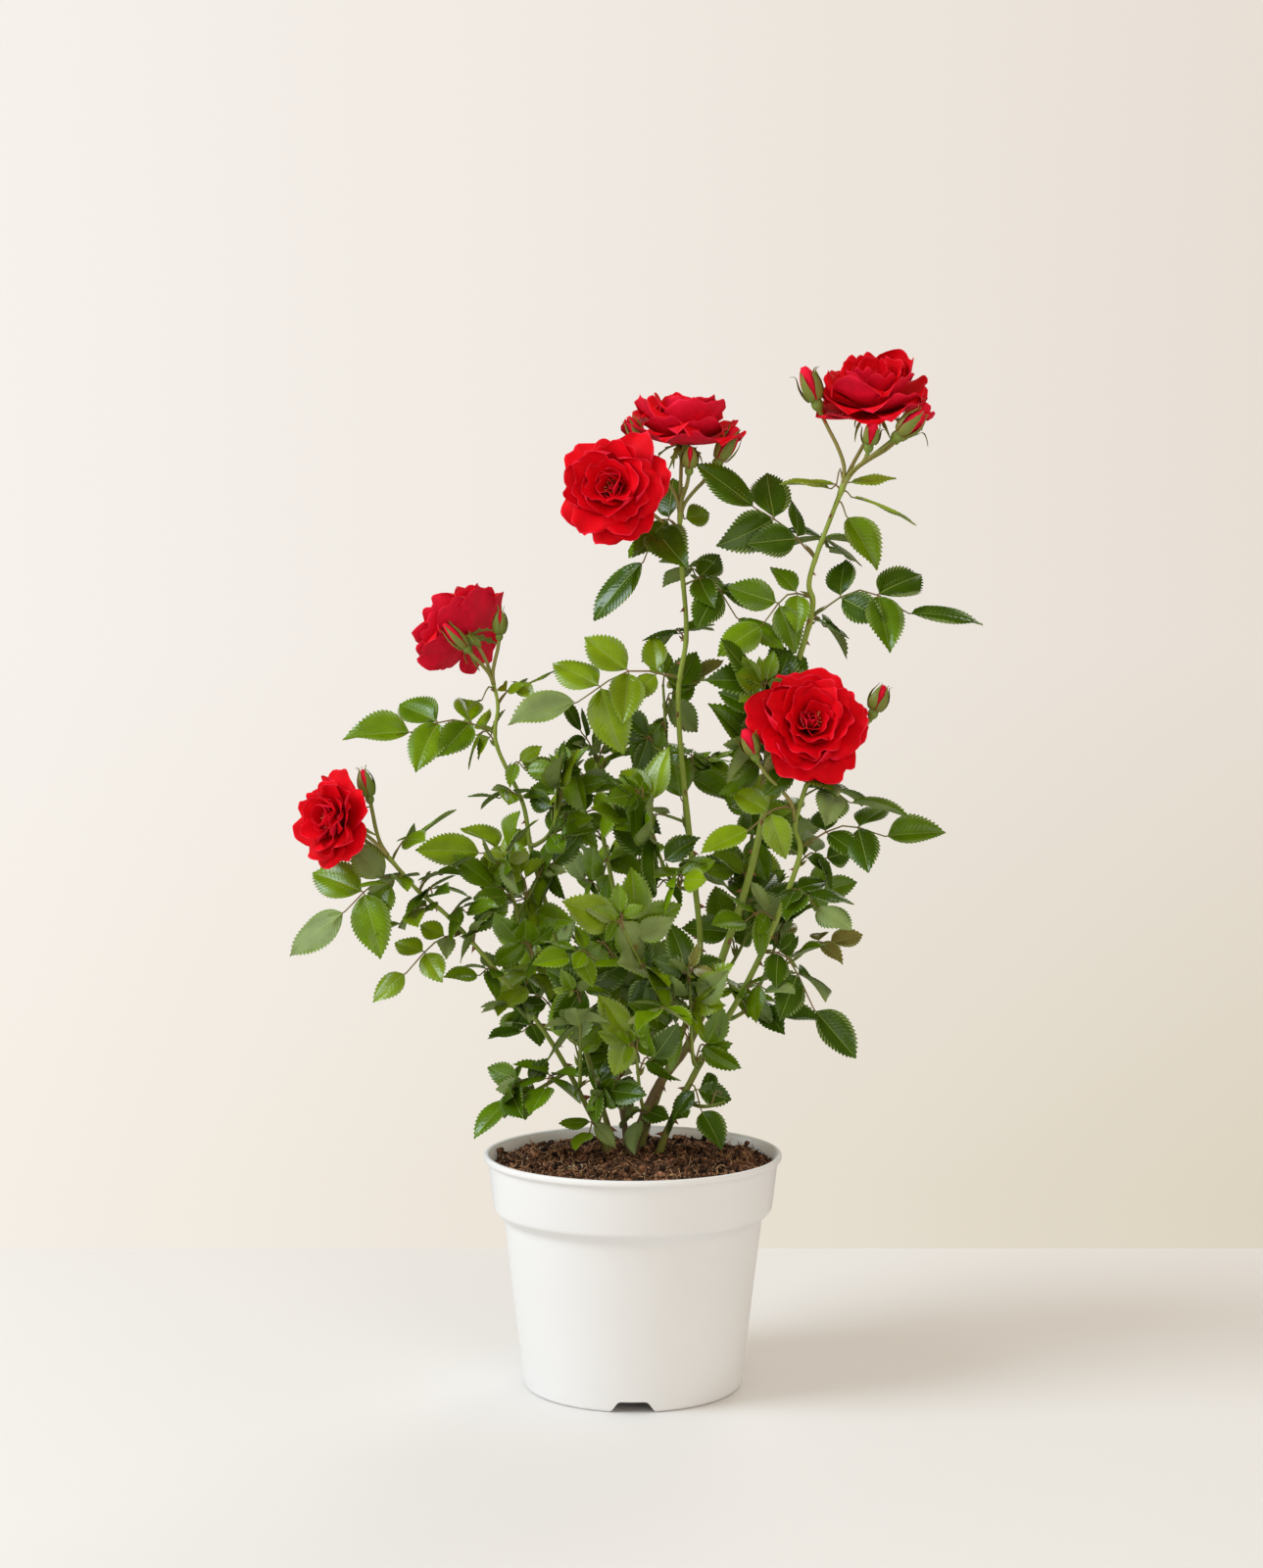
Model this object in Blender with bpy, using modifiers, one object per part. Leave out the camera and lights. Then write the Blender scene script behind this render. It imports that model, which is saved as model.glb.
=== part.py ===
"""A red patio rose in a white nursery pot, as closed solids.

Metres, +Z up. The origin is the centre of the pot's underside, and -Y is the side that the flowers turn to.
Sizes are written in millimetres and scaled once, where they are used.

The plant is worked out in two steps. The plan is a list of stems, leaflets, blooms and buds, made by rules
from a few named sizes. The solids are then built from the plan: one node for each cane, and one for each
flowering spray and leafy shoot, with its stem, leaf stalks, leaflets, blooms and buds fused.
"""

import math
import random
from collections import namedtuple

import bmesh
import bpy
from mathutils import Quaternion, Vector
from mathutils.bvhtree import BVHTree

MM = 0.001
CLEAR = 0.3  # gap left between neighbouring solids
SLACK = 0.05  # added to a gap beside a faceted side
STRAIGHT = 3  # a stem runs straight this far at a joint, so that the two cut faces are parallel
UP = Vector((0, 0, 1))
LIGHT = Vector((-0.25, -0.85, 0.45)).normalized()  # where the leaves have turned for light
BUSH_MIDDLE = 20  # the crown's middle stands this far behind the pot's

# ---------------------------------------------------------------------------------------------------------
# Pot and soil, in millimetres
# ---------------------------------------------------------------------------------------------------------

POT_HEIGHT = 149
LIP_RADIUS, LIP_DEPTH, LIP_WIDTH = 95.5, 3.4, 4.5
BAND_TOP_RADIUS, BAND_FOOT_RADIUS, BAND_DEPTH = 92.2, 89.2, 34
WALL_TOP_RADIUS, BASE_RADIUS, BASE_ROUNDING = 82.6, 69.8, 3
LEDGE = 2.6  # height of the slanting step under the band
WALL = 2.2
FLOOR = 10  # top of the pot's floor
TURN_STEPS = 36
SHARP = math.radians(32)  # an edge bent more than this is a sharp one

NOTCHES = 3
NOTCH_HEIGHT, NOTCH_FOOT_WIDTH, NOTCH_TOP_WIDTH, NOTCH_INNER_RADIUS = 7, 28, 17, 30
DRAIN_RADIUS, DRAIN_AT = 5, 42

SOIL_TOP, SOIL_EDGE = 146, 139.5  # the mound that the canes stand on, and its height at the wall
SHOULDER = 0.8  # how much the mound's slope bulges
MOUND_RADIUS = 46

# ---------------------------------------------------------------------------------------------------------
# The plan: canes
# ---------------------------------------------------------------------------------------------------------

# route runs from the soil to the fork under the flowers; the cane's own solid ends at the height spray_from
Cane = namedtuple("Cane", "name foot_radius tip_radius flare spray_from route")

CANES = (
    Cane("cane_left", 2.3, 1.7, 0.5, 286, (
        (-17, 16, 146), (-29, 12, 174), (-58, 0, 228), (-109, -14, 293), (-137, -22, 320), (-154, -26, 341))),
    Cane("cane_left_inner", 2.4, 1.6, 0.6, 400, (
        (-13, 24, 146), (-29, 26, 204), (-53, 28, 292), (-66, 29, 340), (-72, 30, 372), (-89, 32, 410),
        (-88, 32, 435), (-91, 32, 450))),
    Cane("cane_middle", 2.7, 2.1, 0.8, 440, (
        (5, 30, 146), (20, 30, 190), (43, 20, 262), (37, 10, 345), (31, 2, 402), (29, -2, 445), (34, -4, 482),
        (30, -4, 535), (30, -4, 560))),
    Cane("cane_right_tall", 4.3, 2.3, 2.2, 480, (
        (-1, 12, 146), (16, 8, 189), (38, 4, 222), (61, -2, 285), (78, -6, 342), (96, -10, 432),
        (113, -14, 494), (112, -16, 518), (133, -20, 576))),
    Cane("cane_right_low", 2.8, 2.1, 0.8, 272, (
        (17, 10, 146), (41, 0, 202), (67, -14, 249), (86, -24, 290), (104, -36, 341), (101, -40, 361),
        (108, -46, 388))),
    Cane("cane_back", 2.5, 1.8, 0.6, 330, (
        (-4, 36, 146), (-12, 52, 210), (-8, 62, 280), (-20, 58, 350), (-24, 50, 398))),
)

# ---------------------------------------------------------------------------------------------------------
# The plan: flowering sprays, one on each cane's top
# ---------------------------------------------------------------------------------------------------------

# A leaf leaves the cane at a height. reach runs from there to the tip of its end leaflet, which is size long.
Leaf = namedtuple("Leaf", "height reach pairs size arch slim", defaults=(6, 1.0))
# A bud's stalk leaves the cane at a height and ends at the bud's foot; reach runs from foot to tip.
Bud = namedtuple("Bud", "height foot reach width opening")
Bloom = namedtuple("Bloom", "height centre facing width depth")

SPRAY_OF = {
    "cane_left": "spray_left",
    "cane_left_inner": "spray_left_inner",
    "cane_middle": "spray_middle",
    "cane_right_tall": "spray_right_tall",
    "cane_right_low": "spray_right_low",
    "cane_back": "spray_back",
}

SPRAY_LEAVES = {
    "cane_left": (
        Leaf(329, (-73, -12, -46), 2, 44),
        Leaf(338, (38, 8, 34), 1, 33),
        Leaf(318, (30, 22, 22), 2, 24),
        Leaf(307, (-47, -16, -17), 2, 27),
        Leaf(292, (-56, -22, -40), 2, 28),
        Leaf(300, (28, -26, 14), 2, 26),
    ),
    "cane_left_inner": (
        Leaf(418, (-99, -6, -12), 2, 45, 8),
        Leaf(436, (36, 10, 24), 2, 21),
        Leaf(409, (-28, 52, 12), 2, 28),
        Leaf(444, (-20, -20, -12), 0, 18),
    ),
    "cane_middle": (
        Leaf(453, (-109, -18, -26), 3, 46, 12),
        Leaf(512, (62, -34, -40), 2, 38, 14),
        Leaf(548, (-58, -6, -62), 2, 48, 16),
        Leaf(520, (22, 52, -4), 2, 32),
        Leaf(476, (-20, 60, 8), 2, 34),
        Leaf(553, (22, 18, 8), 0, 26),
    ),
    "cane_right_tall": (
        Leaf(528, (-74, -12, 60), 2, 46, 4),
        Leaf(491, (107, -10, -8), 2, 48, 16),
        Leaf(570, (-38, -12, 8), 0, 34, 3, 0.5),
        Leaf(568, (49, -10, -12), 0, 46, 3, 0.45),
        Leaf(563, (26, -18, -40), 0, 40, 4),
        Leaf(574, (-38, -6, 2), 0, 34, 10, 0.3),
        Leaf(575, (32, -4, 4), 0, 30, 5, 0.35),
        Leaf(504, (-60, -36, -34), 2, 36, 10),
        Leaf(536, (14, 58, 2), 2, 34),
        Leaf(486, (26, 56, 0), 2, 34),
    ),
    "cane_right_low": (
        Leaf(280, (56, -18, -60), 2, 34, 14),
        Leaf(318, (36, -44, -16), 2, 32),
        Leaf(347, (92, -4, 2), 2, 38, 10),
        Leaf(379, (66, -8, -8), 2, 38, 8),
        Leaf(372, (-62, -18, -26), 1, 35, 6),
        Leaf(335, (40, 34, 8), 2, 28),
        Leaf(300, (-40, -46, 4), 2, 30),
    ),
    "cane_back": (
        Leaf(345, (-30, 50, 12), 2, 32),
        Leaf(362, (46, 40, 4), 2, 32),
        Leaf(378, (-52, 16, 22), 2, 30, 8),
        Leaf(388, (24, 44, 28), 2, 30),
        Leaf(396, (20, -14, 38), 2, 26, 4),
        Leaf(398, (-22, -8, 44), 2, 28, 3, 0.7),
    ),
}

SPRAY_BLOOMS = {
    "cane_left": (Bloom(341, (-191, -40, 365), (-0.80, -0.56, 0.20), 64, 28),),
    "cane_left_inner": (Bloom(450, (-116, 44, 487), (-0.46, 0.70, 0.42), 64, 28),),
    "cane_middle": (
        Bloom(560, (32, -6, 616), (0.05, -0.10, 0.99), 66, 30),
        Bloom(532, (-13, -36, 571), (-0.26, -0.94, 0.12), 70, 28),
    ),
    "cane_right_tall": (Bloom(576, (150, -26, 636), (-0.10, -0.42, 0.90), 67, 34),),
    "cane_right_low": (Bloom(388, (110, -60, 426), (0.06, -0.90, 0.40), 74, 32),),
    "cane_back": (),
}

SPRAY_BUDS = {
    "cane_left": (
        Bud(343, (-166, -16, 374), (-5, 0, 21), 10, 0.15),
        Bud(330, (-170, -14, 350), (-12, -2, 8), 9, 0.1),
    ),
    "cane_left_inner": (
        Bud(449, (-106, 20, 470), (-18, -4, 20), 11, 0.2),
        Bud(449, (-87, 30, 478), (1, 0, 22), 10.5, 0.1),
    ),
    "cane_middle": (
        Bud(556, (8, -14, 596), (-11, -3, 21), 9.5, 0.25),
        Bud(558, (35, -24, 580), (1, -2, 17), 10, 0.2),
        Bud(554, (52, -10, 586), (14, 0, 25), 14, 0.5),
    ),
    "cane_right_tall": (
        Bud(572, (116, -30, 620), (-10, -2, 26), 14, 0.3),
        Bud(575, (145, -46, 592), (3, -2, 19), 11, 0.4),
        Bud(570, (161, -42, 600), (18, -6, 16), 13, 0.2),
        Bud(573, (168, -12, 604), (16, 4, 21), 17, 0.8),
    ),
    "cane_right_low": (
        Bud(384, (148, -42, 428), (8, 0, 20), 12, 0.2),
        Bud(362, (76, -62, 402), (-8, -2, 19), 11.5, 0.35),
    ),
    "cane_back": (),
}

# ---------------------------------------------------------------------------------------------------------
# The plan: leafy side shoots, from low on the canes
# ---------------------------------------------------------------------------------------------------------

# reach runs from the cane to the shoot's tip; length is the usual reach of a leaf, size its end leaflet
Shoot = namedtuple("Shoot", "name cane height reach leaves length size")

SHOOTS = (
    Shoot("foliage_front_low", "cane_right_tall", 176, (-8, -62, 44), 6, 56, 28),
    Shoot("foliage_front_left", "cane_left", 190, (4, -58, 62), 6, 58, 29),
    Shoot("foliage_front_right", "cane_right_low", 206, (-8, -52, 58), 6, 56, 29),
    Shoot("foliage_front_middle", "cane_right_tall", 236, (-50, -62, 62), 7, 62, 32),
    Shoot("foliage_front_high", "cane_middle", 318, (-34, -46, 56), 7, 64, 32),
    Shoot("foliage_left_low", "cane_left", 200, (-34, -12, -14), 5, 52, 27),
    Shoot("foliage_left", "cane_left_inner", 262, (-36, -30, 66), 6, 62, 32),
    Shoot("foliage_left_high", "cane_left_inner", 344, (24, -22, 42), 6, 60, 32),
    Shoot("foliage_right_low", "cane_right_low", 183, (27, -14, 0), 5, 47, 25),
    Shoot("foliage_right", "cane_right_tall", 300, (12, 34, 58), 6, 60, 31),
    Shoot("foliage_right_high", "cane_right_tall", 388, (-6, -34, 54), 6, 62, 34),
    Shoot("foliage_middle_high", "cane_middle", 396, (-12, 20, 52), 6, 58, 32),
    Shoot("foliage_middle_low", "cane_middle", 232, (-40, -14, 46), 6, 54, 29),
    Shoot("foliage_back_left", "cane_left_inner", 214, (-32, 50, 56), 6, 60, 31),
    Shoot("foliage_back_low", "cane_back", 196, (14, 56, 40), 6, 58, 30),
    Shoot("foliage_back_middle", "cane_back", 258, (-12, 54, 60), 6, 62, 31),
    Shoot("foliage_back_right", "cane_middle", 252, (46, 50, 56), 6, 62, 31),
    Shoot("foliage_back_high", "cane_middle", 350, (-4, 54, 54), 5, 60, 32),
    Shoot("foliage_right_back", "cane_right_low", 236, (34, 42, 44), 5, 58, 30),
)

# ---------------------------------------------------------------------------------------------------------
# The plan: how a rose grows
# ---------------------------------------------------------------------------------------------------------

PHYLLOTAXIS = math.radians(144)  # each leaf stands two fifths of a turn on from the last
PAIR_PLACES = {0: (), 1: (0.6,), 2: (0.3, 0.68), 3: (0.22, 0.5, 0.78)}  # shares of the leaf stalk
PAIR_SIZES = {0: (), 1: (0.85,), 2: (0.66, 0.9), 3: (0.55, 0.75, 0.92)}  # shares of the end leaflet
PAIR_ANGLE, ANGLE_SPREAD = math.radians(66), 0.2  # side leaflets from their stalk
LEAFLET_WIDTH = 0.64  # share of its length
LEAFLET_TURN = 0.4  # a leaflet turns this far about its own length, either way
DROOP = 0.12  # how far a leaflet's tip hangs, as a share of its length
FIRST_LEAF = 0.34  # where on a shoot its lowest leaf stands, as a share
SHOOT_ARCH = 6  # rise of a shoot's leaf stalks, in millimetres
FLOWER_STALK_RADIUS, LEAF_STALK_RADIUS, SHOOT_RADIUS = 1.15, 0.8, 1.7
BEND_OUT, BEND_IN = 0.35, 0.3  # pull of a curve's two ends, as shares of its span
TAPER = 0.25  # a shoot or a leaf stalk loses this share of its radius

Grown = namedtuple("Grown", "stalk pairs end sides")  # one whole leaf
Leaflet = namedtuple("Leaflet", "root along face length width")
Flower = namedtuple("Flower", "centre facing width depth")
Bulb = namedtuple("Bulb", "foot tip width opening")


class Route:
    """A smooth line through its points, in millimetres."""

    def __init__(self, points, first=None):
        self.points = [Vector(p) for p in points]
        before = self.points[0] - (first or self.points[1] - self.points[0])
        after = 2 * self.points[-1] - self.points[-2]
        self.padded = [before, *self.points, after]

    def at(self, share):
        """The point at a share of the way, from 0 to 1."""
        spans = len(self.points) - 1
        span = min(int(share * spans), spans - 1)
        t = share * spans - span
        a, b, c, d = self.padded[span:span + 4]
        return 0.5 * (2 * b + (c - a) * t + (2 * a - 5 * b + 4 * c - d) * t**2
                      + (3 * b - a - 3 * c + d) * t**3)

    def direction(self, share):
        low, high = max(share - 0.01, 0), min(share + 0.01, 1)
        return (self.at(high) - self.at(low)).normalized()

    def share_at(self, height):
        """The share of the way at which a rising line passes a height."""
        low, high = 0.0, 1.0
        while high - low > 1e-4:
            middle = (low + high) / 2
            low, high = (middle, high) if self.at(middle).z < height else (low, middle)
        return (low + high) / 2

    def stretch(self, low, high, count):
        return [self.at(low + (high - low) * i / (count - 1)) for i in range(count)]


def cane_route(cane):
    """The cane's line: it leaves the soil upright."""
    rise = cane.route[1][2] - cane.route[0][2]
    return Route(cane.route, first=Vector((0, 0, rise * 0.6)))


def cane_radius(cane, share):
    """Taper from foot to tip, with a flare that is gone soon above the soil."""
    flare = cane.flare * math.exp(-share * 40)
    return cane.foot_radius + (cane.tip_radius - cane.foot_radius) * share + flare


def side_of(along, face):
    return along.cross(face).normalized()


def square_to(along, face):
    """face, turned square to along."""
    flat = face - along * face.dot(along)
    return flat.normalized() if flat.length > 1e-3 else along.orthogonal().normalized()


def leaf_face(along, place, rng):
    """Which way a leaf's upper side looks: up, out of the bush and to the light."""
    outward = Vector((place.x, place.y - BUSH_MIDDLE, 0)).normalized()
    wander = Vector([rng.uniform(-1, 1) for _ in range(3)])
    return square_to(along, UP * 0.3 + outward * 0.35 + LIGHT * 0.75 + wander * 0.3)


def leaf_plan(base, reach, pairs, size, arch, slim, rng):
    """One rose leaf: its stalk, the leaflet at its end and the pairs along it."""
    reach = Vector(reach)
    end = base + reach * max(1 - size / reach.length, 0.08)
    middle = (base + end) / 2 + UP * arch
    stalk = Route((base, middle, end))
    face = leaf_face(reach.normalized(), base + reach, rng)
    leaflets = []

    def leaflet(root, along, length):
        turn = Quaternion(along, rng.uniform(-LEAFLET_TURN, LEAFLET_TURN))
        facing = turn @ square_to(along, face)
        leaflets.append(Leaflet(root, along, facing, length, length * LEAFLET_WIDTH * slim))

    for place, share in zip(PAIR_PLACES[pairs], PAIR_SIZES[pairs]):
        root, forward = stalk.at(place), stalk.direction(place)
        side = side_of(forward, face)
        for hand in (-1, 1):
            angle = PAIR_ANGLE + rng.uniform(-ANGLE_SPREAD, ANGLE_SPREAD)
            along = forward * math.cos(angle) + side * hand * math.sin(angle) + face * rng.uniform(-0.25, 0.1)
            leaflet(root, along.normalized(), size * share * rng.uniform(0.92, 1.05))
    leaflet(end, (base + reach - end).normalized(), size)
    return Grown(stalk, pairs, leaflets[-1], leaflets[:-1])


def bend(start, out, end, arrive, count=5):
    """Points of a cubic curve that leaves along out and arrives along arrive."""
    span = (end - start).length
    a, b = start + out * span * BEND_OUT, end - arrive * span * BEND_IN
    points = []
    for i in range(count):
        t = i / (count - 1)
        points.append(start * (1 - t)**3 + a * 3 * t * (1 - t)**2 + b * 3 * t**2 * (1 - t) + end * t**3)
    return points


def flower_parts(cane):
    """The flower stalks of a cane's top, with their blooms and buds."""
    route = cane_route(cane)
    stalks, flowers, bulbs = [], [], []
    for bloom in SPRAY_BLOOMS[cane.name]:
        share = route.share_at(bloom.height)
        centre, facing = Vector(bloom.centre), Vector(bloom.facing).normalized()
        foot = centre - facing * bloom.depth * 0.5
        stalks.append(bend(route.at(share), route.direction(share), foot, facing))
        flowers.append(Flower(centre, facing, bloom.width, bloom.depth))
    for bud in SPRAY_BUDS[cane.name]:
        share = route.share_at(bud.height)
        foot, reach = Vector(bud.foot), Vector(bud.reach)
        stalks.append(bend(route.at(share), route.direction(share), foot, reach.normalized()))
        bulbs.append(Bulb(foot, foot + reach, bud.width, bud.opening))
    return stalks, flowers, bulbs


def shoot_route(shoot, turn):
    """A side shoot's line: square out of the cane's side, then up to its tip."""
    cane = next(cane for cane in CANES if cane.name == shoot.cane)
    route = cane_route(cane)
    share = route.share_at(shoot.height)
    reach = Quaternion(UP, turn) @ Vector(shoot.reach)
    out = square_to(route.direction(share), Vector((reach.x, reach.y, 0)))
    start = route.at(share) + out * (cane_radius(cane, share) + CLEAR + SLACK)
    tip = route.at(share) + reach
    arrive = (reach.normalized() + UP * 0.5).normalized()
    return Route([start, *bend(start + out * STRAIGHT, out, tip, arrive)])


def shoot_leaves(shoot, route, rng):
    """Bases and reaches of a shoot's leaves, turning round the stem, the lowest the longest."""
    first = rng.uniform(0, math.tau)
    for i in range(shoot.leaves):
        share = FIRST_LEAF + (1 - FIRST_LEAF) * i / (shoot.leaves - 1)
        forward = route.direction(share)
        side = square_to(forward, UP)
        across = side_of(forward, side)
        angle = first + i * PHYLLOTAXIS
        out = side * math.cos(angle) + across * math.sin(angle)
        # leaves stand out widely low on the shoot and close up round its tip
        way = (out * 1.3 + forward * (0.75 + 1.1 * share) + UP * 0.15 + LIGHT * 0.1).normalized()
        yield route.at(share), way * shoot.length * (1.08 - 0.3 * share) * rng.uniform(0.88, 1.08)


# ---------------------------------------------------------------------------------------------------------
# Closed shapes, in millimetres
# ---------------------------------------------------------------------------------------------------------

Shape = namedtuple("Shape", "points faces kind")  # kind names its material: stem, leaf, petal or bud

THREE_SIDED = math.cos(math.pi / 6), math.sin(math.pi / 6)  # upper corners of a three-sided section
BIG_LEAF = 34  # a leaflet longer than this gets a section more
# share of the length, share of the full width
BIG_LEAF_SECTIONS = ((0.22, 0.75), (0.6, 0.9))
LEAF_SECTIONS = ((0.4, 1.0),)
LEAF_KEEL = 0.9  # depth of the rib under a blade, its thickness there
LEAFLET_FOOT = 0.9  # half the length of stalk that a side leaflet stands on
# the section's point that each corner of a stalk's face goes to: 0 and 2 are the edges, 1 the keel
LEFT_CORNERS = [1, 2, 0, 1]
RIGHT_CORNERS = [0, 1, 1, 2]
PETAL_CORNERS = [1, 1, 2, 0]

BULB_SIDES = 5
BULB_SHARES = (0.0, 0.15, 0.45, 0.8, 1.0)
PETAL_SIDES = 10
# of a bloom's heart: share of the depth, share of the radius
HEART = ((-0.06, 0.1), (0.06, 0.36), (0.3, 0.62), (0.55, 0.72), (0.86, 0.6), (1.0, 0.25))
PETAL_ROWS = ((1, 0.4, 1.0), (2, 0.8, 0.92))  # span of the heart, rise in radians, reach in radii
PETAL_WIDTH, PETAL_KEEL = 1.05, 2.4  # width in radii, thickness in millimetres
PETAL_SECTION = 0.75  # where a petal is widest, as a share of its length


def lofted(rings, kind, tip=None):
    """A closed shell over rings of points, with a flat root and a flat or pointed tip."""
    points, numbered = [], []
    for ring in rings:
        numbered.append(list(range(len(points), len(points) + len(ring))))
        points += ring
    faces = []
    for low, high in zip(numbered, numbered[1:]):
        for k in range(len(low)):
            n = (k + 1) % len(low)
            faces.append((low[k], low[n], high[n], high[k]))
    faces.append(tuple(reversed(numbered[0])))
    last = numbered[-1]
    if tip is None:
        faces.append(tuple(last))
    else:
        points.append(tip)
        faces += [(last[k - 1], last[k], len(points) - 1) for k in range(len(last))]
    return Shape(points, faces, kind)


def draw_blade(shape, face, order, sections, tip):
    """Draw a blade out of one four-cornered face: through its sections to its tip.

    order says which point of a section each corner of the face goes to.
    """
    corners_of = list(shape.faces[face])
    around = [k for i, k in enumerate(order) if k != order[i - 1]]
    ring = {}
    for section in sections:
        start = len(shape.points)
        shape.points.extend(section)
        new = {k: start + k for k in range(len(section))}
        if ring:
            edges = [(ring[i], ring[j], new[j], new[i]) for i, j in zip(around, around[1:] + around[:1])]
        else:
            edges = []
            for (p, i), (q, j) in zip(zip(corners_of, order), zip(corners_of[1:] + corners_of[:1],
                                                                  order[1:] + order[:1])):
                edges.append((p, q, new[i]) if i == j else (p, q, new[j], new[i]))
        shape.faces.extend(edges)
        ring = new
    shape.points.append(tip)
    last = len(shape.points) - 1
    shape.faces.extend((ring[i], ring[j], last) for i, j in zip(around, around[1:] + around[:1]))
    shape.faces[face] = None


def finished(shape):
    """The shape without the faces that blades were drawn out of."""
    return Shape(shape.points, [face for face in shape.faces if face], shape.kind)


def limb(points, radii, sides, kind="stem"):
    """A tapering rod with flat ends, carried along its points without a twist."""
    rings, along = [], (points[1] - points[0]).normalized()
    side = along.orthogonal().normalized()
    for i, point in enumerate(points):
        before, after = points[max(i - 1, 0)], points[min(i + 1, len(points) - 1)]
        turned = (after - before).normalized()
        side = along.rotation_difference(turned) @ side
        along = turned
        across = along.cross(side)
        angles = [math.tau * k / sides for k in range(sides)]
        rings.append([point + (side * math.cos(a) + across * math.sin(a)) * radii[i] for a in angles])
    return lofted(rings, kind)


def twig(route, radius, taper, sides, count):
    """A stem along a route as a limb, which loses a share of its radius on the way."""
    radii = [radius * (1 - taper * i / (count - 1)) for i in range(count)]
    return limb(route.stretch(0, 1, count), radii, sides)


def blade_sections(leaf):
    """Sections of a leaflet's blade: left edge, keel under the middle, right edge."""
    side = side_of(leaf.along, leaf.face)
    found = []
    for share, half in BIG_LEAF_SECTIONS if leaf.length > BIG_LEAF else LEAF_SECTIONS:
        at = leaf.root + leaf.along * leaf.length * share - leaf.face * leaf.length * DROOP * share**2
        reach = side * leaf.width / 2 * half
        found.append([at + reach, at - leaf.face * LEAF_KEEL, at - reach])
    return found


def blade_tip(leaf):
    return leaf.root + (leaf.along - leaf.face * DROOP) * leaf.length


def blade_alone(leaf):
    """A side leaflet on its own, to see whether there is room for it."""
    start = leaf.root + leaf.along * LEAF_STALK_RADIUS * 2
    side = side_of(leaf.along, leaf.face) * LEAF_STALK_RADIUS
    foot = [start + side, start - leaf.face * LEAF_KEEL, start - side]
    return lofted([foot, *blade_sections(leaf)], "leaf", blade_tip(leaf))


def leaf_shape(leaf, kept):
    """One rose leaf as one shell: a three-cornered stalk that ends as a blade, with blades along it."""
    face, side = leaf.end.face, side_of(leaf.end.along, leaf.end.face)
    length = (leaf.stalk.at(1) - leaf.stalk.at(0)).length
    shares = [0.0]
    for place in PAIR_PLACES[leaf.pairs]:
        shares += [place - LEAFLET_FOOT / length, place + LEAFLET_FOOT / length]
    shares.append(1.0)
    rings = []
    for share in shares:
        point, radius = leaf.stalk.at(share), LEAF_STALK_RADIUS * (1 - TAPER * share)
        reach, flat = side * radius * THREE_SIDED[0], face * radius * THREE_SIDED[1]
        rings.append([point + reach + flat, point - face * radius, point - reach + flat])
    shape = lofted(rings + blade_sections(leaf.end), "leaf", blade_tip(leaf.end))
    for k, (leaflet, keep) in enumerate(zip(leaf.sides, kept)):
        if not keep:
            continue
        pair, hand = divmod(k, 2)
        order = RIGHT_CORNERS if hand else LEFT_CORNERS
        draw_blade(shape, (1 + 2 * pair) * 3 + (0 if hand else 1), order, blade_sections(leaflet),
                   blade_tip(leaflet))
    return finished(shape)


def bulb_shape(bulb):
    """A bud: its green hip, its swelling and its tip, blunter the more it has opened."""
    along = bulb.tip - bulb.foot
    widths = (0.3, 0.66, 1.0, 0.62 + 0.3 * bulb.opening, 0.12 + 0.5 * bulb.opening)
    points = [bulb.foot + along * share for share in BULB_SHARES]
    return limb(points, [bulb.width / 2 * width for width in widths], BULB_SIDES, "bud")


def bloom_shape(flower):
    """A rose: a cupped heart, with two rings of broad petals drawn out of its side."""
    facing, radius, depth = flower.facing, flower.width / 2, flower.depth
    foot = flower.centre - facing * depth * 0.5
    heart = [foot + facing * depth * share for share, _ in HEART]
    shape = limb(heart, [radius * share for _, share in HEART], PETAL_SIDES, "petal")
    for ring, (span, rise, reach) in enumerate(PETAL_ROWS):
        for k in range(ring, PETAL_SIDES, 2):
            corner_points = [shape.points[i] for i in shape.faces[span * PETAL_SIDES + k]]
            middle = sum(corner_points, Vector()) / 4
            out = square_to(facing, middle - foot)
            along = out * math.cos(rise) + facing * math.sin(rise)
            back = square_to(along, -facing)
            side = side_of(along, back) * radius * PETAL_WIDTH / 2
            length = radius * reach / math.cos(rise) - (middle - foot).dot(out)
            at = middle + along * length * PETAL_SECTION
            section = [at - side, at + back * PETAL_KEEL, at + side]
            draw_blade(shape, span * PETAL_SIDES + k, PETAL_CORNERS, [section], middle + along * length)
    return finished(shape)


# ---------------------------------------------------------------------------------------------------------
# Space: every piece keeps clear of those placed before it
# ---------------------------------------------------------------------------------------------------------

ROOM = 0.5  # gap that leaves and shoots keep
BLOOM_ROOM = 0.45  # share of a bloom's width that no leaflet's middle comes into


def tree_of(shape):
    return BVHTree.FromPolygons(shape.points, shape.faces)


def grown(shape, margin):
    """The shape with its surface moved out by a margin."""
    normals = [Vector() for _ in shape.points]
    for face in shape.faces:
        a, b, c = (shape.points[k] for k in face[:3])
        normal = (b - a).cross(c - a).normalized()
        for k in face:
            normals[k] += normal
    points = [point + normal.normalized() * margin for point, normal in zip(shape.points, normals)]
    return Shape(points, shape.faces, shape.kind)


def corners(shape):
    axes = list(zip(*shape.points))
    return [min(axis) for axis in axes], [max(axis) for axis in axes]


def crosses_itself(shape):
    """True where two faces that share no corner meet."""
    tree = tree_of(shape)
    return any(not set(shape.faces[i]) & set(shape.faces[j]) for i, j in tree.overlap(tree))


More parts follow.
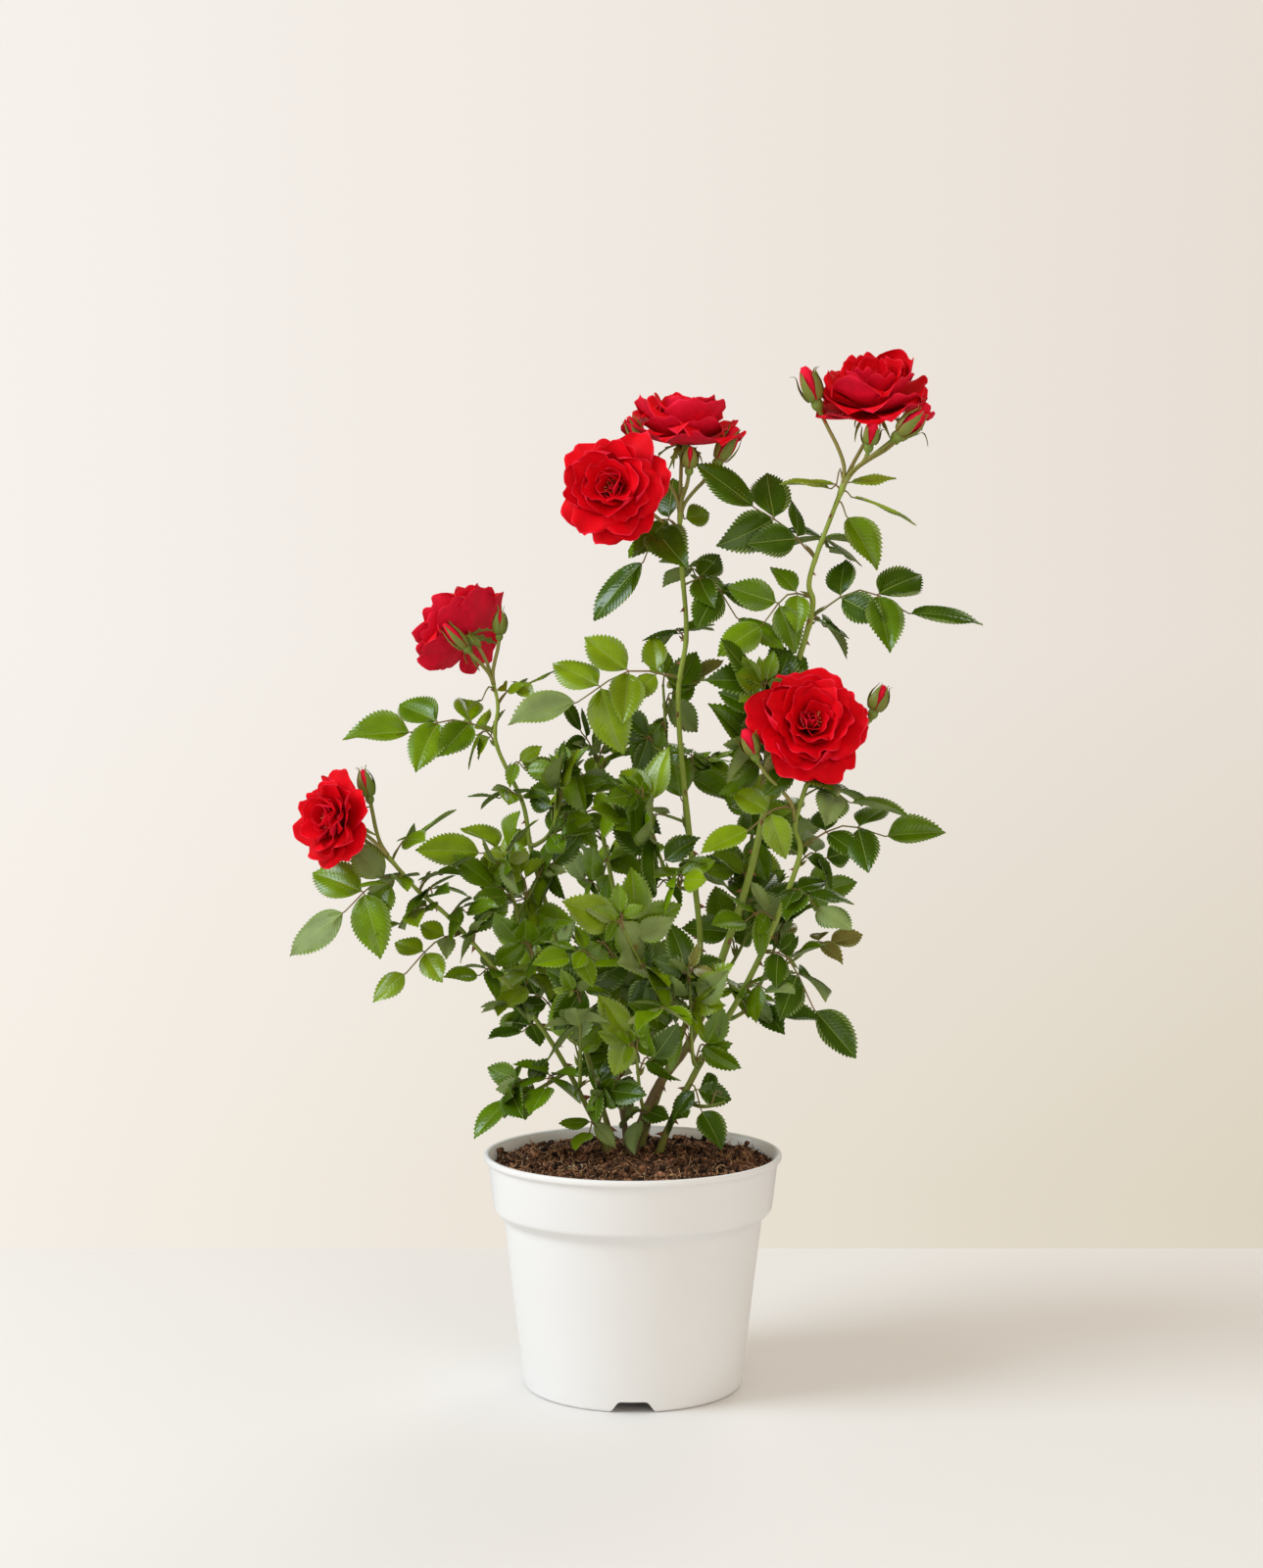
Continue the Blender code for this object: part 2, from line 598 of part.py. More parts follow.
class Space:
    """What is already taken: the key, the box and the tree of each piece."""

    def __init__(self):
        self.taken = []

    def fits(self, shape, but=()):
        """True where a shape keeps its clearance from all that is taken, apart from what it grows on."""
        big = grown(shape, ROOM)
        low, high = corners(big)
        tree = tree_of(big)
        for key, box_low, box_high, other in self.taken:
            apart = any(low[i] > box_high[i] or high[i] < box_low[i] for i in range(3))
            if not apart and key not in but and tree.overlap(other):
                return False
        return True

    def take(self, key, shape):
        self.taken.append((key, *corners(shape), tree_of(shape)))


def inside_pot(shape):
    """True where a point of the shape would reach into the pot or touch the soil."""
    return any(point.z < POT_HEIGHT + STRAIGHT and point.xy.length < LIP_RADIUS + STRAIGHT
               for point in shape.points)


def in_a_bloom(leaflet):
    """True where a leaflet's middle lies in one of the blooms."""
    middle = leaflet.root + leaflet.along * leaflet.length / 2
    return any((middle - Vector(bloom.centre)).length < bloom.width * BLOOM_ROOM
               for blooms in SPRAY_BLOOMS.values() for bloom in blooms)


# ---------------------------------------------------------------------------------------------------------
# Masses: lists of shapes that are then fused
# ---------------------------------------------------------------------------------------------------------

CANE_SPANS = 11
TRIES = 14
WANDER = 0.5  # how far the last try may lean a leaf
SHOOT_TURN = math.radians(12)  # how far each try turns a shoot about the cane


def grow_leaf(space, mass, stem_key, base, reach, pairs, size, arch, slim, rng):
    """Add one leaf to a mass, turned a little more at each try until it is clear."""
    for attempt in range(TRIES):
        wander = Vector([rng.uniform(-1, 1) for _ in range(3)]) * attempt / TRIES * WANDER
        way = (Vector(reach).normalized() + wander).normalized() * Vector(reach).length
        leaf = leaf_plan(base, way, pairs, size, arch, slim, rng)
        stalk = leaf_shape(leaf, [False] * len(leaf.sides))
        if inside_pot(stalk) or not space.fits(stalk, (stem_key,)):
            continue
        kept, own = [], Space()
        own.take("end", blade_alone(leaf.end))
        for leaflet in leaf.sides:
            alone = blade_alone(leaflet)
            room = not in_a_bloom(leaflet) and not inside_pot(alone) and own.fits(alone)
            kept.append(room and space.fits(alone, (stem_key,)))
            if kept[-1]:
                own.take("side", alone)
        shape = leaf_shape(leaf, kept)
        if sum(kept) * 2 >= len(kept) and not crosses_itself(shape):
            space.take((stem_key, len(space.taken)), shape)
            mass.append(shape)
            return True
    return False


def spray_stem(cane):
    """The stem that goes on from the cane's end, cut parallel to it."""
    route = cane_route(cane)
    low = route.share_at(cane.spray_from)
    joint, way = route.at(low), route.direction(low)
    points = [joint + way * (CLEAR + SLACK), joint + way * STRAIGHT]
    points += [point for point in route.stretch(low, 1, 6) if (point - joint).dot(way) > STRAIGHT * 2]
    return limb(points, [cane.tip_radius] * len(points), 5)


def cane_points(cane):
    """The cane's own points, from its upright foot to the joint under its spray."""
    route = cane_route(cane)
    high = route.share_at(cane.spray_from)
    joint, way = route.at(high), route.direction(high)
    foot = route.at(0) + UP * CLEAR
    shares = [high * (i / CANE_SPANS)**1.3 for i in range(1, CANE_SPANS)]
    points = [(foot, 0.0), (foot + UP * STRAIGHT, 0.0)]
    points += [(route.at(share), share) for share in shares if route.at(share).z > foot.z + STRAIGHT * 2]
    return points + [(joint - way * STRAIGHT, high), (joint, high)]


def blooming(space):
    """Each spray's stem, flower stalks, blooms and buds, which leaves then keep clear of."""
    masses = {}
    for cane in CANES:
        key = SPRAY_OF[cane.name]
        stalks, flowers, bulbs = flower_parts(cane)
        shapes = [spray_stem(cane)]
        shapes += [twig(Route(points), FLOWER_STALK_RADIUS, 0, 3, 4) for points in stalks]
        shapes += [bloom_shape(flower) for flower in flowers]
        shapes += [bulb_shape(bulb) for bulb in bulbs]
        for shape in shapes:
            space.take(key, shape)
        masses[key] = shapes
    return masses


def leafing(space, masses):
    """The named leaves of each spray."""
    for cane in CANES:
        key, route, rng = SPRAY_OF[cane.name], cane_route(cane), random.Random(cane.name)
        for leaf in SPRAY_LEAVES[cane.name]:
            base = route.at(route.share_at(leaf.height))
            grow_leaf(space, masses[key], key, base, leaf.reach, leaf.pairs, leaf.size, leaf.arch,
                      leaf.slim, rng)


def shooting(space, masses):
    """The leafy side shoots: all their stems first, then their leaves."""
    routes = {}
    for shoot in SHOOTS:
        for attempt in range(TRIES):
            turn = SHOOT_TURN * ((attempt + 1) // 2) * (-1)**attempt
            route = shoot_route(shoot, turn)
            stem = twig(route, SHOOT_RADIUS, TAPER, 4, 6)
            if space.fits(stem, (shoot.cane,)) and not inside_pot(stem):
                space.take(shoot.name, stem)
                masses[shoot.name] = [stem]
                routes[shoot.name] = route
                break
    for shoot in SHOOTS:
        if shoot.name in routes:
            rng = random.Random(shoot.name)
            for base, reach in shoot_leaves(shoot, routes[shoot.name], rng):
                size = shoot.size * rng.uniform(0.85, 1.1)
                grow_leaf(space, masses[shoot.name], shoot.name, base, reach, 2, size, SHOOT_ARCH, 1.0, rng)


# ---------------------------------------------------------------------------------------------------------
# Blender objects
# ---------------------------------------------------------------------------------------------------------


def make_material(name, colour, roughness):
    material = bpy.data.materials.new(name)
    material.use_nodes = True
    shader = material.node_tree.nodes["Principled BSDF"]
    shader.inputs["Base Color"].default_value = (*colour, 1)
    shader.inputs["Roughness"].default_value = roughness
    shader.inputs["Metallic"].default_value = 0
    material.diffuse_color = (*colour, 1)
    return material


def make_collection(name):
    collection = bpy.data.collections.new(name)
    bpy.context.scene.collection.children.link(collection)
    return collection


def make_object(name, data, collection, material=None):
    made = bpy.data.objects.new(name, data)
    collection.objects.link(made)
    if material:
        data.materials.append(material)
    return made


def mesh_of(shape, name):
    """A shape as a mesh in metres."""
    mesh = bpy.data.meshes.new(name)
    mesh.from_pydata([point * MM for point in shape.points], [], shape.faces)
    return mesh


def evaluated_mesh(made):
    """The object's mesh with its modifiers applied."""
    graph = bpy.context.evaluated_depsgraph_get()
    return bpy.data.meshes.new_from_object(made.evaluated_get(graph))


def turned(name, profile, collection, material):
    """A profile of (radius, height) points, from axis to axis, turned round Z."""
    mesh = bpy.data.meshes.new(name)
    points = [(radius * MM, 0, height * MM) for radius, height in profile]
    mesh.from_pydata(points, [(i, i + 1) for i in range(len(points) - 1)], [])
    made = make_object(name, mesh, collection, material)
    screw = made.modifiers.new("turn", "SCREW")
    screw.steps = screw.render_steps = TURN_STEPS
    screw.use_merge_vertices = True
    screw.merge_threshold = 0.00001
    screw.use_normal_calculate = True
    return made


def pot_inner_profile():
    """The pot's inside from its floor to its rim, as (radius, height)."""
    under_band = POT_HEIGHT - BAND_DEPTH
    return [
        (BASE_RADIUS - WALL, FLOOR),
        (WALL_TOP_RADIUS - WALL, under_band - LEDGE),
        (BAND_FOOT_RADIUS - WALL, under_band + LEDGE * 0.4),
        (LIP_RADIUS - LIP_WIDTH, POT_HEIGHT - LIP_DEPTH),
        (LIP_RADIUS - LIP_WIDTH, POT_HEIGHT - 0.6),
    ]


def pot_outer_profile():
    """The pot's outside from its rim to its underside, as (radius, height)."""
    under_band, lip_foot = POT_HEIGHT - BAND_DEPTH, POT_HEIGHT - LIP_DEPTH
    rounding = [
        (BASE_RADIUS - BASE_ROUNDING * (1 - math.cos(angle)), BASE_ROUNDING * (1 - math.sin(angle)))
        for angle in (0, math.pi / 4, math.pi / 2)
    ]
    return [
        (LIP_RADIUS - LIP_WIDTH + 0.6, POT_HEIGHT),
        (LIP_RADIUS - 1.2, POT_HEIGHT),
        (LIP_RADIUS, POT_HEIGHT - 1.2),
        (LIP_RADIUS, lip_foot + 0.8),
        (BAND_TOP_RADIUS, lip_foot - 0.4),
        (BAND_FOOT_RADIUS + 0.2, under_band + 1.8),
        (BAND_FOOT_RADIUS - 1, under_band),
        (WALL_TOP_RADIUS + 1, under_band - LEDGE),
        (WALL_TOP_RADIUS, under_band - LEDGE * 2),
        *rounding,
    ]


def notch_cutter(turn, collection):
    """A tapered channel under the pot that opens as a notch at the foot of the wall."""
    far = BASE_RADIUS + 10
    bm = bmesh.new()
    bmesh.ops.create_cube(bm, size=1)
    for vert in bm.verts:
        upper = vert.co.z > 0
        # the sides slope on below the pot, where the cutter starts as deep as the notch is high
        width = NOTCH_TOP_WIDTH if upper else 2 * NOTCH_FOOT_WIDTH - NOTCH_TOP_WIDTH
        vert.co.x *= width * MM
        vert.co.y = (-far if vert.co.y < 0 else -NOTCH_INNER_RADIUS) * MM
        vert.co.z = (NOTCH_HEIGHT if upper else -NOTCH_HEIGHT) * MM
    mesh = bpy.data.meshes.new("notch")
    bm.to_mesh(mesh)
    bm.free()
    cutter = make_object("notch_cutter", mesh, collection)
    cutter.rotation_euler.z = turn
    return cutter


def drain_cutter(turn, collection):
    """The round hole through the roof of a channel."""
    bm = bmesh.new()
    bmesh.ops.create_cone(bm, cap_ends=True, segments=12, radius1=DRAIN_RADIUS * MM,
                          radius2=DRAIN_RADIUS * MM, depth=(FLOOR - NOTCH_HEIGHT) * 4 * MM)
    mesh = bpy.data.meshes.new("drain")
    bm.to_mesh(mesh)
    bm.free()
    cutter = make_object("drain_cutter", mesh, collection)
    cutter.location = (math.sin(turn) * DRAIN_AT * MM, -math.cos(turn) * DRAIN_AT * MM, FLOOR * MM)
    cutter.rotation_euler.z = turn
    return cutter


def boolean(made, operation, collection):
    """A Boolean modifier whose operands are a whole collection."""
    modifier = made.modifiers.new(operation.lower(), "BOOLEAN")
    modifier.operation = operation
    modifier.operand_type = "COLLECTION"
    modifier.collection = collection
    return modifier


def make_pot(collection, material):
    cutters = make_collection("pot_cutters")
    for k in range(NOTCHES):
        turn = math.tau * k / NOTCHES
        for cutter in (notch_cutter(turn, cutters), drain_cutter(turn, cutters)):
            cutter.hide_render = True
            cutter.display_type = "WIRE"
    profile = [(0, FLOOR), *pot_inner_profile(), *pot_outer_profile(), (0, 0)]
    pot = turned("pot", profile, collection, material)
    boolean(pot, "DIFFERENCE", cutters)
    pot.data = evaluated_mesh(pot)
    pot.modifiers.clear()
    pot.data.shade_smooth()
    pot.data.set_sharp_from_angle(angle=SHARP)


def make_soil(collection, material):
    """The root ball that fills the pot, with a low flat mound that the canes stand on."""
    inside = [(radius - CLEAR - SLACK * 2, height) for radius, height in pot_inner_profile()]
    foot, ledge, low, high = inside[:4]
    share = (SOIL_EDGE - low[1]) / (high[1] - low[1])
    edge = low[0] + (high[0] - low[0]) * share
    middle = ((MOUND_RADIUS + edge) / 2, (SOIL_TOP + SOIL_EDGE) / 2 + SHOULDER)
    bottom = FLOOR + CLEAR
    profile = [(0, SOIL_TOP), (MOUND_RADIUS, SOIL_TOP), middle, (edge, SOIL_EDGE), low, ledge,
               (foot[0], bottom), (0, bottom)]
    turned("soil", profile, collection, material)


def make_cane(cane, collection, material):
    """A cane as a round bevelled curve with filled caps, thickest at the soil."""
    curve = bpy.data.curves.new(cane.name, "CURVE")
    curve.dimensions = "3D"
    curve.bevel_depth = MM
    curve.bevel_resolution = 1
    curve.use_fill_caps = True
    points = cane_points(cane)
    spline = curve.splines.new("POLY")
    spline.points.add(len(points) - 1)
    for target, (place, share) in zip(spline.points, points):
        target.co = (*(place * MM), 1)
        target.radius = cane_radius(cane, share)
    make_object(cane.name, curve, collection, material)


def body_of(face, left):
    """All faces that join a face edge to edge, taken out of those left."""
    body, waiting = [], [face]
    while waiting:
        found = waiting.pop()
        body.append(found)
        for edge in found.edges:
            for other in edge.link_faces:
                if other in left:
                    left.remove(other)
                    waiting.append(other)
    return body


def spread(body):
    """The diagonal of a body's box."""
    axes = list(zip(*(vert.co for face in body for vert in face.verts)))
    return Vector([max(axis) - min(axis) for axis in axes]).length


def keep_widest_body(mesh):
    """Drop loose scraps and sealed inner shells: only the widest body stays."""
    bm = bmesh.new()
    bm.from_mesh(mesh)
    bodies, left = [], set(bm.faces)
    while left:
        bodies.append(body_of(left.pop(), left))
    widest = max(bodies, key=spread)
    scraps = [face for body in bodies if body is not widest for face in body]
    bmesh.ops.delete(bm, geom=scraps, context="FACES")
    bm.to_mesh(mesh)
    bm.free()


def fuse(name, shapes, collection, materials):
    """Join a mass's shapes by one Boolean union, then remove the pieces it was joined from.

    EXACT leaves open edges where thin leaf stalks meet, so the union is made by MANIFOLD.
    """
    pieces = make_collection(name + "_pieces")
    for shape in shapes[1:]:
        make_object(name + "_piece", mesh_of(shape, "piece"), pieces, materials[shape.kind])
    stem = make_object(name + "_stem", mesh_of(shapes[0], "stem"), bpy.context.scene.collection,
                       materials[shapes[0].kind])
    union = boolean(stem, "UNION", pieces)
    union.solver = "MANIFOLD"
    union.material_mode = "TRANSFER"
    mesh = evaluated_mesh(stem)
    for piece in [stem, *pieces.objects]:
        bpy.data.objects.remove(piece, do_unlink=True)
    bpy.data.collections.remove(pieces)
    keep_widest_body(mesh)
    mesh.name = name
    make_object(name, mesh, collection)


def clear_scene():
    for found in list(bpy.data.objects):
        bpy.data.objects.remove(found, do_unlink=True)


def main():
    clear_scene()
    collection = make_collection("rose_bush")
    materials = {
        "leaf": make_material("leaf", (0.045, 0.12, 0.03), 0.45),
        "stem": make_material("stem", (0.12, 0.17, 0.05), 0.55),
        "petal": make_material("petal", (0.55, 0.008, 0.012), 0.6),
        "bud": make_material("bud", (0.14, 0.15, 0.05), 0.5),
    }
    make_pot(collection, make_material("white_plastic", (0.82, 0.81, 0.79), 0.4))
    make_soil(collection, make_material("soil", (0.07, 0.04, 0.028), 0.95))
    space = Space()
    for cane in CANES:
        make_cane(cane, collection, materials["stem"])
        points = cane_points(cane)
        radii = [cane_radius(cane, share) for _, share in points]
        space.take(cane.name, limb([place for place, _ in points], radii, 8))
    masses = blooming(space)
    leafing(space, masses)
    shooting(space, masses)
    for name, shapes in masses.items():
        fuse(name, shapes, collection, materials)


main()
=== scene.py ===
"""The looks of a red patio rose in a white nursery pot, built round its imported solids.

Places and sizes are in millimetres and scaled once, in Pile.made. The plan of the plant, its tables of named
canes, leaves, blooms, buds and shoots and the rule that a leaf and a shoot grow by, is the plan that its
solids were made from, written again here and carried on to finer twigs. Everything visible is then drawn
from it: bark, thorns, stalks, toothed and quilted leaflets, petals, sepals, stamens, soil and pot.
"""

import math
import random
from collections import namedtuple

import bmesh
import bpy
import numpy as np
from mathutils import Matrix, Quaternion, Vector


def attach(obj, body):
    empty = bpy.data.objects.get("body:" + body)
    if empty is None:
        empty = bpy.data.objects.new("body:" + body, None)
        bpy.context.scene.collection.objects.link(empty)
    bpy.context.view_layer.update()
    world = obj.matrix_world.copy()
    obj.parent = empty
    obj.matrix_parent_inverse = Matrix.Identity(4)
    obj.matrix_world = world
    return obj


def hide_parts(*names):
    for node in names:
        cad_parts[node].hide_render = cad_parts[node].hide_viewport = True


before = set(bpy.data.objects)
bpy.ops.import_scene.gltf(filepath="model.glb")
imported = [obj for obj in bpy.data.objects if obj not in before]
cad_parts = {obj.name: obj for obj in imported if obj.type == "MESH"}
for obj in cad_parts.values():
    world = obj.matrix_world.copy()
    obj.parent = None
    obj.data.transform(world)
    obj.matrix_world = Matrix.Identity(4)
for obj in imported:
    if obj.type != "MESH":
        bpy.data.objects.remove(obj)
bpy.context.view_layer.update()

MM = 0.001
CLEAR = 0.3  # gap between neighbouring solids
SLACK = 0.05
STRAIGHT = 3  # how far a side shoot leaves its cane straight
UP = Vector((0, 0, 1))
FRONT = Vector((0, -1, 0))  # the side that the photograph shows
LIGHT = Vector((-0.25, -0.85, 0.45)).normalized()  # where the leaves have turned for light
BUSH_MIDDLE = 20  # the crown's middle stands this far behind the pot's
SOIL_TOP, SOIL_EDGE = 146, 142


# ==== The plan: canes ====

# route runs from the soil to the fork under the flowers
Cane = namedtuple("Cane", "name foot_radius tip_radius flare route")

CANES = [Cane("cane_" + name, *rest) for name, *rest in (
    ("left", 2.3, 1.7, 0.5, (
        (-17, 16, 146), (-29, 12, 174), (-58, 0, 228), (-109, -14, 293), (-137, -22, 320), (-154, -26, 341))),
    ("left_inner", 2.4, 1.6, 0.6, (
        (-13, 24, 146), (-29, 26, 204), (-53, 28, 292), (-66, 29, 340), (-72, 30, 372), (-89, 32, 410),
        (-88, 32, 435), (-91, 32, 450))),
    ("middle", 2.7, 2.1, 0.8, (
        (5, 30, 146), (20, 30, 190), (43, 20, 262), (37, 10, 345), (31, 2, 402), (29, -2, 445), (34, -4, 482),
        (30, -4, 535), (30, -4, 560))),
    ("right_tall", 4.3, 2.3, 2.2, (
        (-1, 12, 146), (16, 8, 189), (38, 4, 222), (61, -2, 285), (78, -6, 342), (96, -10, 432),
        (113, -14, 494), (112, -16, 518), (133, -20, 576))),
    ("right_low", 2.8, 2.1, 0.8, (
        (17, 10, 146), (41, 0, 202), (67, -14, 249), (86, -24, 290), (104, -36, 341), (101, -40, 361),
        (108, -46, 388))),
    ("back", 2.5, 1.8, 0.6, (
        (-4, 36, 146), (-12, 52, 210), (-8, 62, 280), (-20, 58, 350), (-24, 50, 398))),
)]

# ==== The plan: flowering sprays, one on each cane's top ====

# A leaf leaves the cane at a height. reach runs from there to the tip of its end leaflet, which is size long.
# The rows of the two tables of leaves are in this order.
Leaf = namedtuple("Leaf", "height reach pairs size arch slim", defaults=(6, 1.0))
# A bud's stalk leaves the cane at a height and ends at the bud's foot; reach runs from foot to tip.
Bud = namedtuple("Bud", "height foot reach width opening")
# bowl: 0 where it is flat to 1; pale: how many pale petals are in its middle; grown: size against its solid
Bloom = namedtuple("Bloom", "height centre facing width depth bowl pale grown")

SPRAY_LEAVES = {
    "cane_left": (
        (329, (-73, -12, -46), 2, 44), (338, (38, 8, 34), 1, 33), (318, (30, 22, 22), 2, 24),
        (307, (-47, -16, -17), 2, 27), (292, (-56, -22, -40), 2, 28), (300, (28, -26, 14), 2, 26),
    ),
    "cane_left_inner": (
        (418, (-99, -6, 0), 2, 45, 8), (436, (36, 10, 24), 2, 21), (409, (-28, 52, 12), 2, 28),
        (444, (-20, -20, -12), 0, 18),
    ),
    "cane_middle": (
        (453, (-109, -18, -26), 3, 46, 12), (512, (62, -34, -40), 2, 38, 14),
        (548, (-58, -6, -54), 2, 48, 16), (520, (22, 52, -4), 2, 32), (476, (-20, 60, 8), 2, 34),
        (553, (22, 18, 8), 0, 26),
    ),
    "cane_right_tall": (
        (528, (-74, -12, 60), 2, 46, 4), (491, (107, -10, 4), 2, 46, 16),
        (570, (-38, -12, 8), 0, 34, 3, 0.6), (568, (49, -10, -12), 0, 44, 3, 0.6),
        (563, (26, -18, -40), 0, 40, 4), (574, (-38, -6, 2), 0, 34, 10, 0.45),
        (575, (32, -4, 4), 0, 30, 5, 0.5), (504, (-60, -36, -34), 2, 36, 10), (536, (14, 58, 2), 2, 34),
        (486, (26, 56, 0), 2, 34),
    ),
    "cane_right_low": (
        (280, (58, -20, -64), 2, 40, 14), (318, (36, -44, -16), 2, 32), (347, (90, -4, 12), 2, 38, 10),
        (379, (66, -8, -8), 2, 38, 8), (372, (-62, -18, -26), 1, 35, 6), (335, (40, 34, 8), 2, 28),
        (300, (-40, -46, 4), 2, 30),
    ),
    "cane_back": (
        (345, (-30, 50, 12), 2, 32), (362, (46, 40, 4), 2, 32), (378, (-52, 16, 22), 2, 30, 8),
        (388, (24, 44, 28), 2, 30), (396, (20, -14, 38), 2, 26, 4), (398, (-22, -8, 44), 2, 28, 3, 0.7),
    ),
}

# leaves that the solids leave out
FINER_LEAVES = {
    "cane_left": (
        (314, (16, -36, 8), 2, 27), (284, (8, -38, 24), 2, 27), (322, (-30, -34, 4), 2, 25),
        (262, (-34, -24, 6), 2, 25), (240, (-30, -30, 10), 2, 24),
    ),
    "cane_left_inner": (
        (334, (-74, -18, 12), 2, 42), (300, (-44, -34, 18), 2, 30), (372, (-34, -28, 8), 2, 26),
        (392, (30, -18, 4), 1, 22),
    ),
    "cane_right_low": (
        (170, (8, -30, 6), 1, 22), (190, (22, -26, -34), 1, 30, 8), (252, (30, -40, 12), 2, 27),
    ),
}

SPRAY_BLOOMS = {
    "cane_left": (Bloom(341, (-191, -40, 365), (-0.70, -0.68, 0.22), 64, 28, 0.3, 5, 0.94),),
    "cane_left_inner": (Bloom(450, (-116, 44, 487), (-0.66, 0.5, 0.5), 64, 28, 0.6, 0, 1.06),),
    "cane_middle": (
        Bloom(560, (32, -6, 616), (0.05, -0.10, 0.99), 66, 30, 0.9, 0, 1.15),
        Bloom(532, (-13, -36, 571), (-0.26, -0.94, 0.12), 70, 28, 0.0, 3, 1.06),
    ),
    "cane_right_tall": (Bloom(576, (150, -26, 636), (-0.10, -0.42, 0.90), 67, 34, 1.0, 0, 1.13),),
    "cane_right_low": (Bloom(388, (110, -60, 426), (0.06, -0.90, 0.40), 74, 32, 0.3, 1, 1.02),),
    "cane_back": (),
}

SPRAY_BUDS = {
    "cane_left": (
        Bud(343, (-166, -16, 374), (-5, 0, 21), 10, 0.15), Bud(330, (-170, -14, 350), (-12, -2, 8), 9, 0.1),
    ),
    "cane_left_inner": (
        Bud(449, (-106, 20, 470), (-16, -4, 18), 9, 0.25), Bud(449, (-87, 30, 478), (1, 0, 19), 9, 0.1),
    ),
    "cane_middle": (
        Bud(556, (8, -14, 596), (-11, -3, 21), 9.5, 0.25), Bud(558, (35, -24, 580), (1, -2, 17), 10, 0.2),
        Bud(554, (52, -10, 586), (14, 0, 25), 13, 0.25),
    ),
    "cane_right_tall": (
        Bud(572, (116, -30, 620), (-10, -2, 26), 14, 0.3), Bud(575, (145, -46, 592), (3, -2, 19), 11, 0.4),
        Bud(570, (161, -42, 600), (18, -6, 16), 13, 0.2), Bud(573, (168, -12, 604), (16, 4, 21), 17, 0.75),
    ),
    "cane_right_low": (
        Bud(384, (148, -42, 428), (8, 0, 20), 12, 0.2), Bud(362, (76, -62, 402), (-8, -2, 19), 11.5, 0.35),
    ),
    "cane_back": (),
}

# ==== The plan: leafy side shoots, from low on the canes ====

# reach runs from the cane to the shoot's tip; length is the usual reach of a leaf, size its end leaflet
Shoot = namedtuple("Shoot", "name cane height reach leaves length size")

SHOOTS = [Shoot("foliage_" + name, "cane_" + cane, *rest) for name, cane, *rest in (
    ("front_low", "right_tall", 176, (-8, -62, 44), 6, 56, 28),
    ("front_left", "left", 190, (4, -58, 62), 6, 58, 29),
    ("front_right", "right_low", 206, (-8, -52, 58), 6, 56, 29),
    ("front_middle", "right_tall", 236, (-50, -62, 62), 7, 62, 32),
    ("front_high", "middle", 318, (-34, -46, 56), 7, 64, 32),
    ("left_low", "left", 200, (-34, -12, -14), 5, 52, 27),
    ("left", "left_inner", 262, (-36, -30, 66), 6, 62, 32),
    ("left_high", "left_inner", 344, (24, -22, 42), 6, 60, 32),
    ("right_low", "right_low", 183, (27, -14, 0), 5, 47, 25),
    ("right", "right_tall", 300, (12, 34, 58), 6, 60, 31),
    ("right_high", "right_tall", 388, (-6, -34, 54), 6, 62, 34),
    ("middle_high", "middle", 396, (-12, 20, 52), 6, 58, 32),
    ("middle_low", "middle", 232, (-40, -14, 46), 6, 54, 29),
    ("back_left", "left_inner", 214, (-32, 50, 56), 6, 60, 31),
    ("back_low", "back", 196, (14, 56, 40), 6, 58, 30),
    ("back_middle", "back", 258, (-12, 54, 60), 6, 62, 31),
    ("back_right", "middle", 252, (46, 50, 56), 6, 62, 31),
    ("back_high", "middle", 350, (-4, 54, 54), 5, 60, 32),
    ("right_back", "right_low", 236, (34, 42, 44), 5, 58, 30),
)]

# finer shoots that the solids leave out, each with the mass whose leaves it joins
FINER_SHOOTS = {
    "foliage_front_left": Shoot("low_left_front", "cane_left", 166, (6, -36, 20), 4, 34, 20),
    "foliage_front_low": Shoot("low_middle_front", "cane_middle", 170, (-22, -44, 14), 4, 36, 21),
    "foliage_back_low": Shoot("low_middle_back", "cane_back", 172, (-8, 36, 18), 4, 36, 21),
}

# ==== The plan: how a rose grows ====

PHYLLOTAXIS = math.radians(144)  # each leaf stands two fifths of a turn on from the last
PAIR_PLACES = {0: (), 1: (0.6,), 2: (0.3, 0.68), 3: (0.22, 0.5, 0.78)}  # shares of the leaf stalk
PAIR_SIZES = {0: (), 1: (0.85,), 2: (0.75, 0.94), 3: (0.6, 0.8, 0.95)}  # shares of the end leaflet
PAIR_ANGLE, ANGLE_SPREAD = math.radians(66), 0.2  # side leaflets from their stalk
LEAFLET_WIDTH = 0.64  # share of its length
LEAFLET_TURN = 0.4  # a leaflet turns this far about its own length, either way
DROOP = 0.12  # how far a leaflet's tip hangs, as a share of its length
FIRST_LEAF = 0.34  # where on a shoot its lowest leaf stands, as a share
FEWER_LEAVES = 2  # than the solid has, on a shoot: its finer twigs bear the others
SHOOT_ARCH = 6  # rise of a shoot's leaf stalks, in millimetres
FLOWER_STALK_RADIUS, LEAF_STALK_RADIUS, SHOOT_RADIUS = 1.25, 0.7, 1.6
BEND_OUT, BEND_IN = 0.35, 0.3  # pull of a curve's two ends, as shares of its span

Leaflet = namedtuple("Leaflet", "root along face length width")


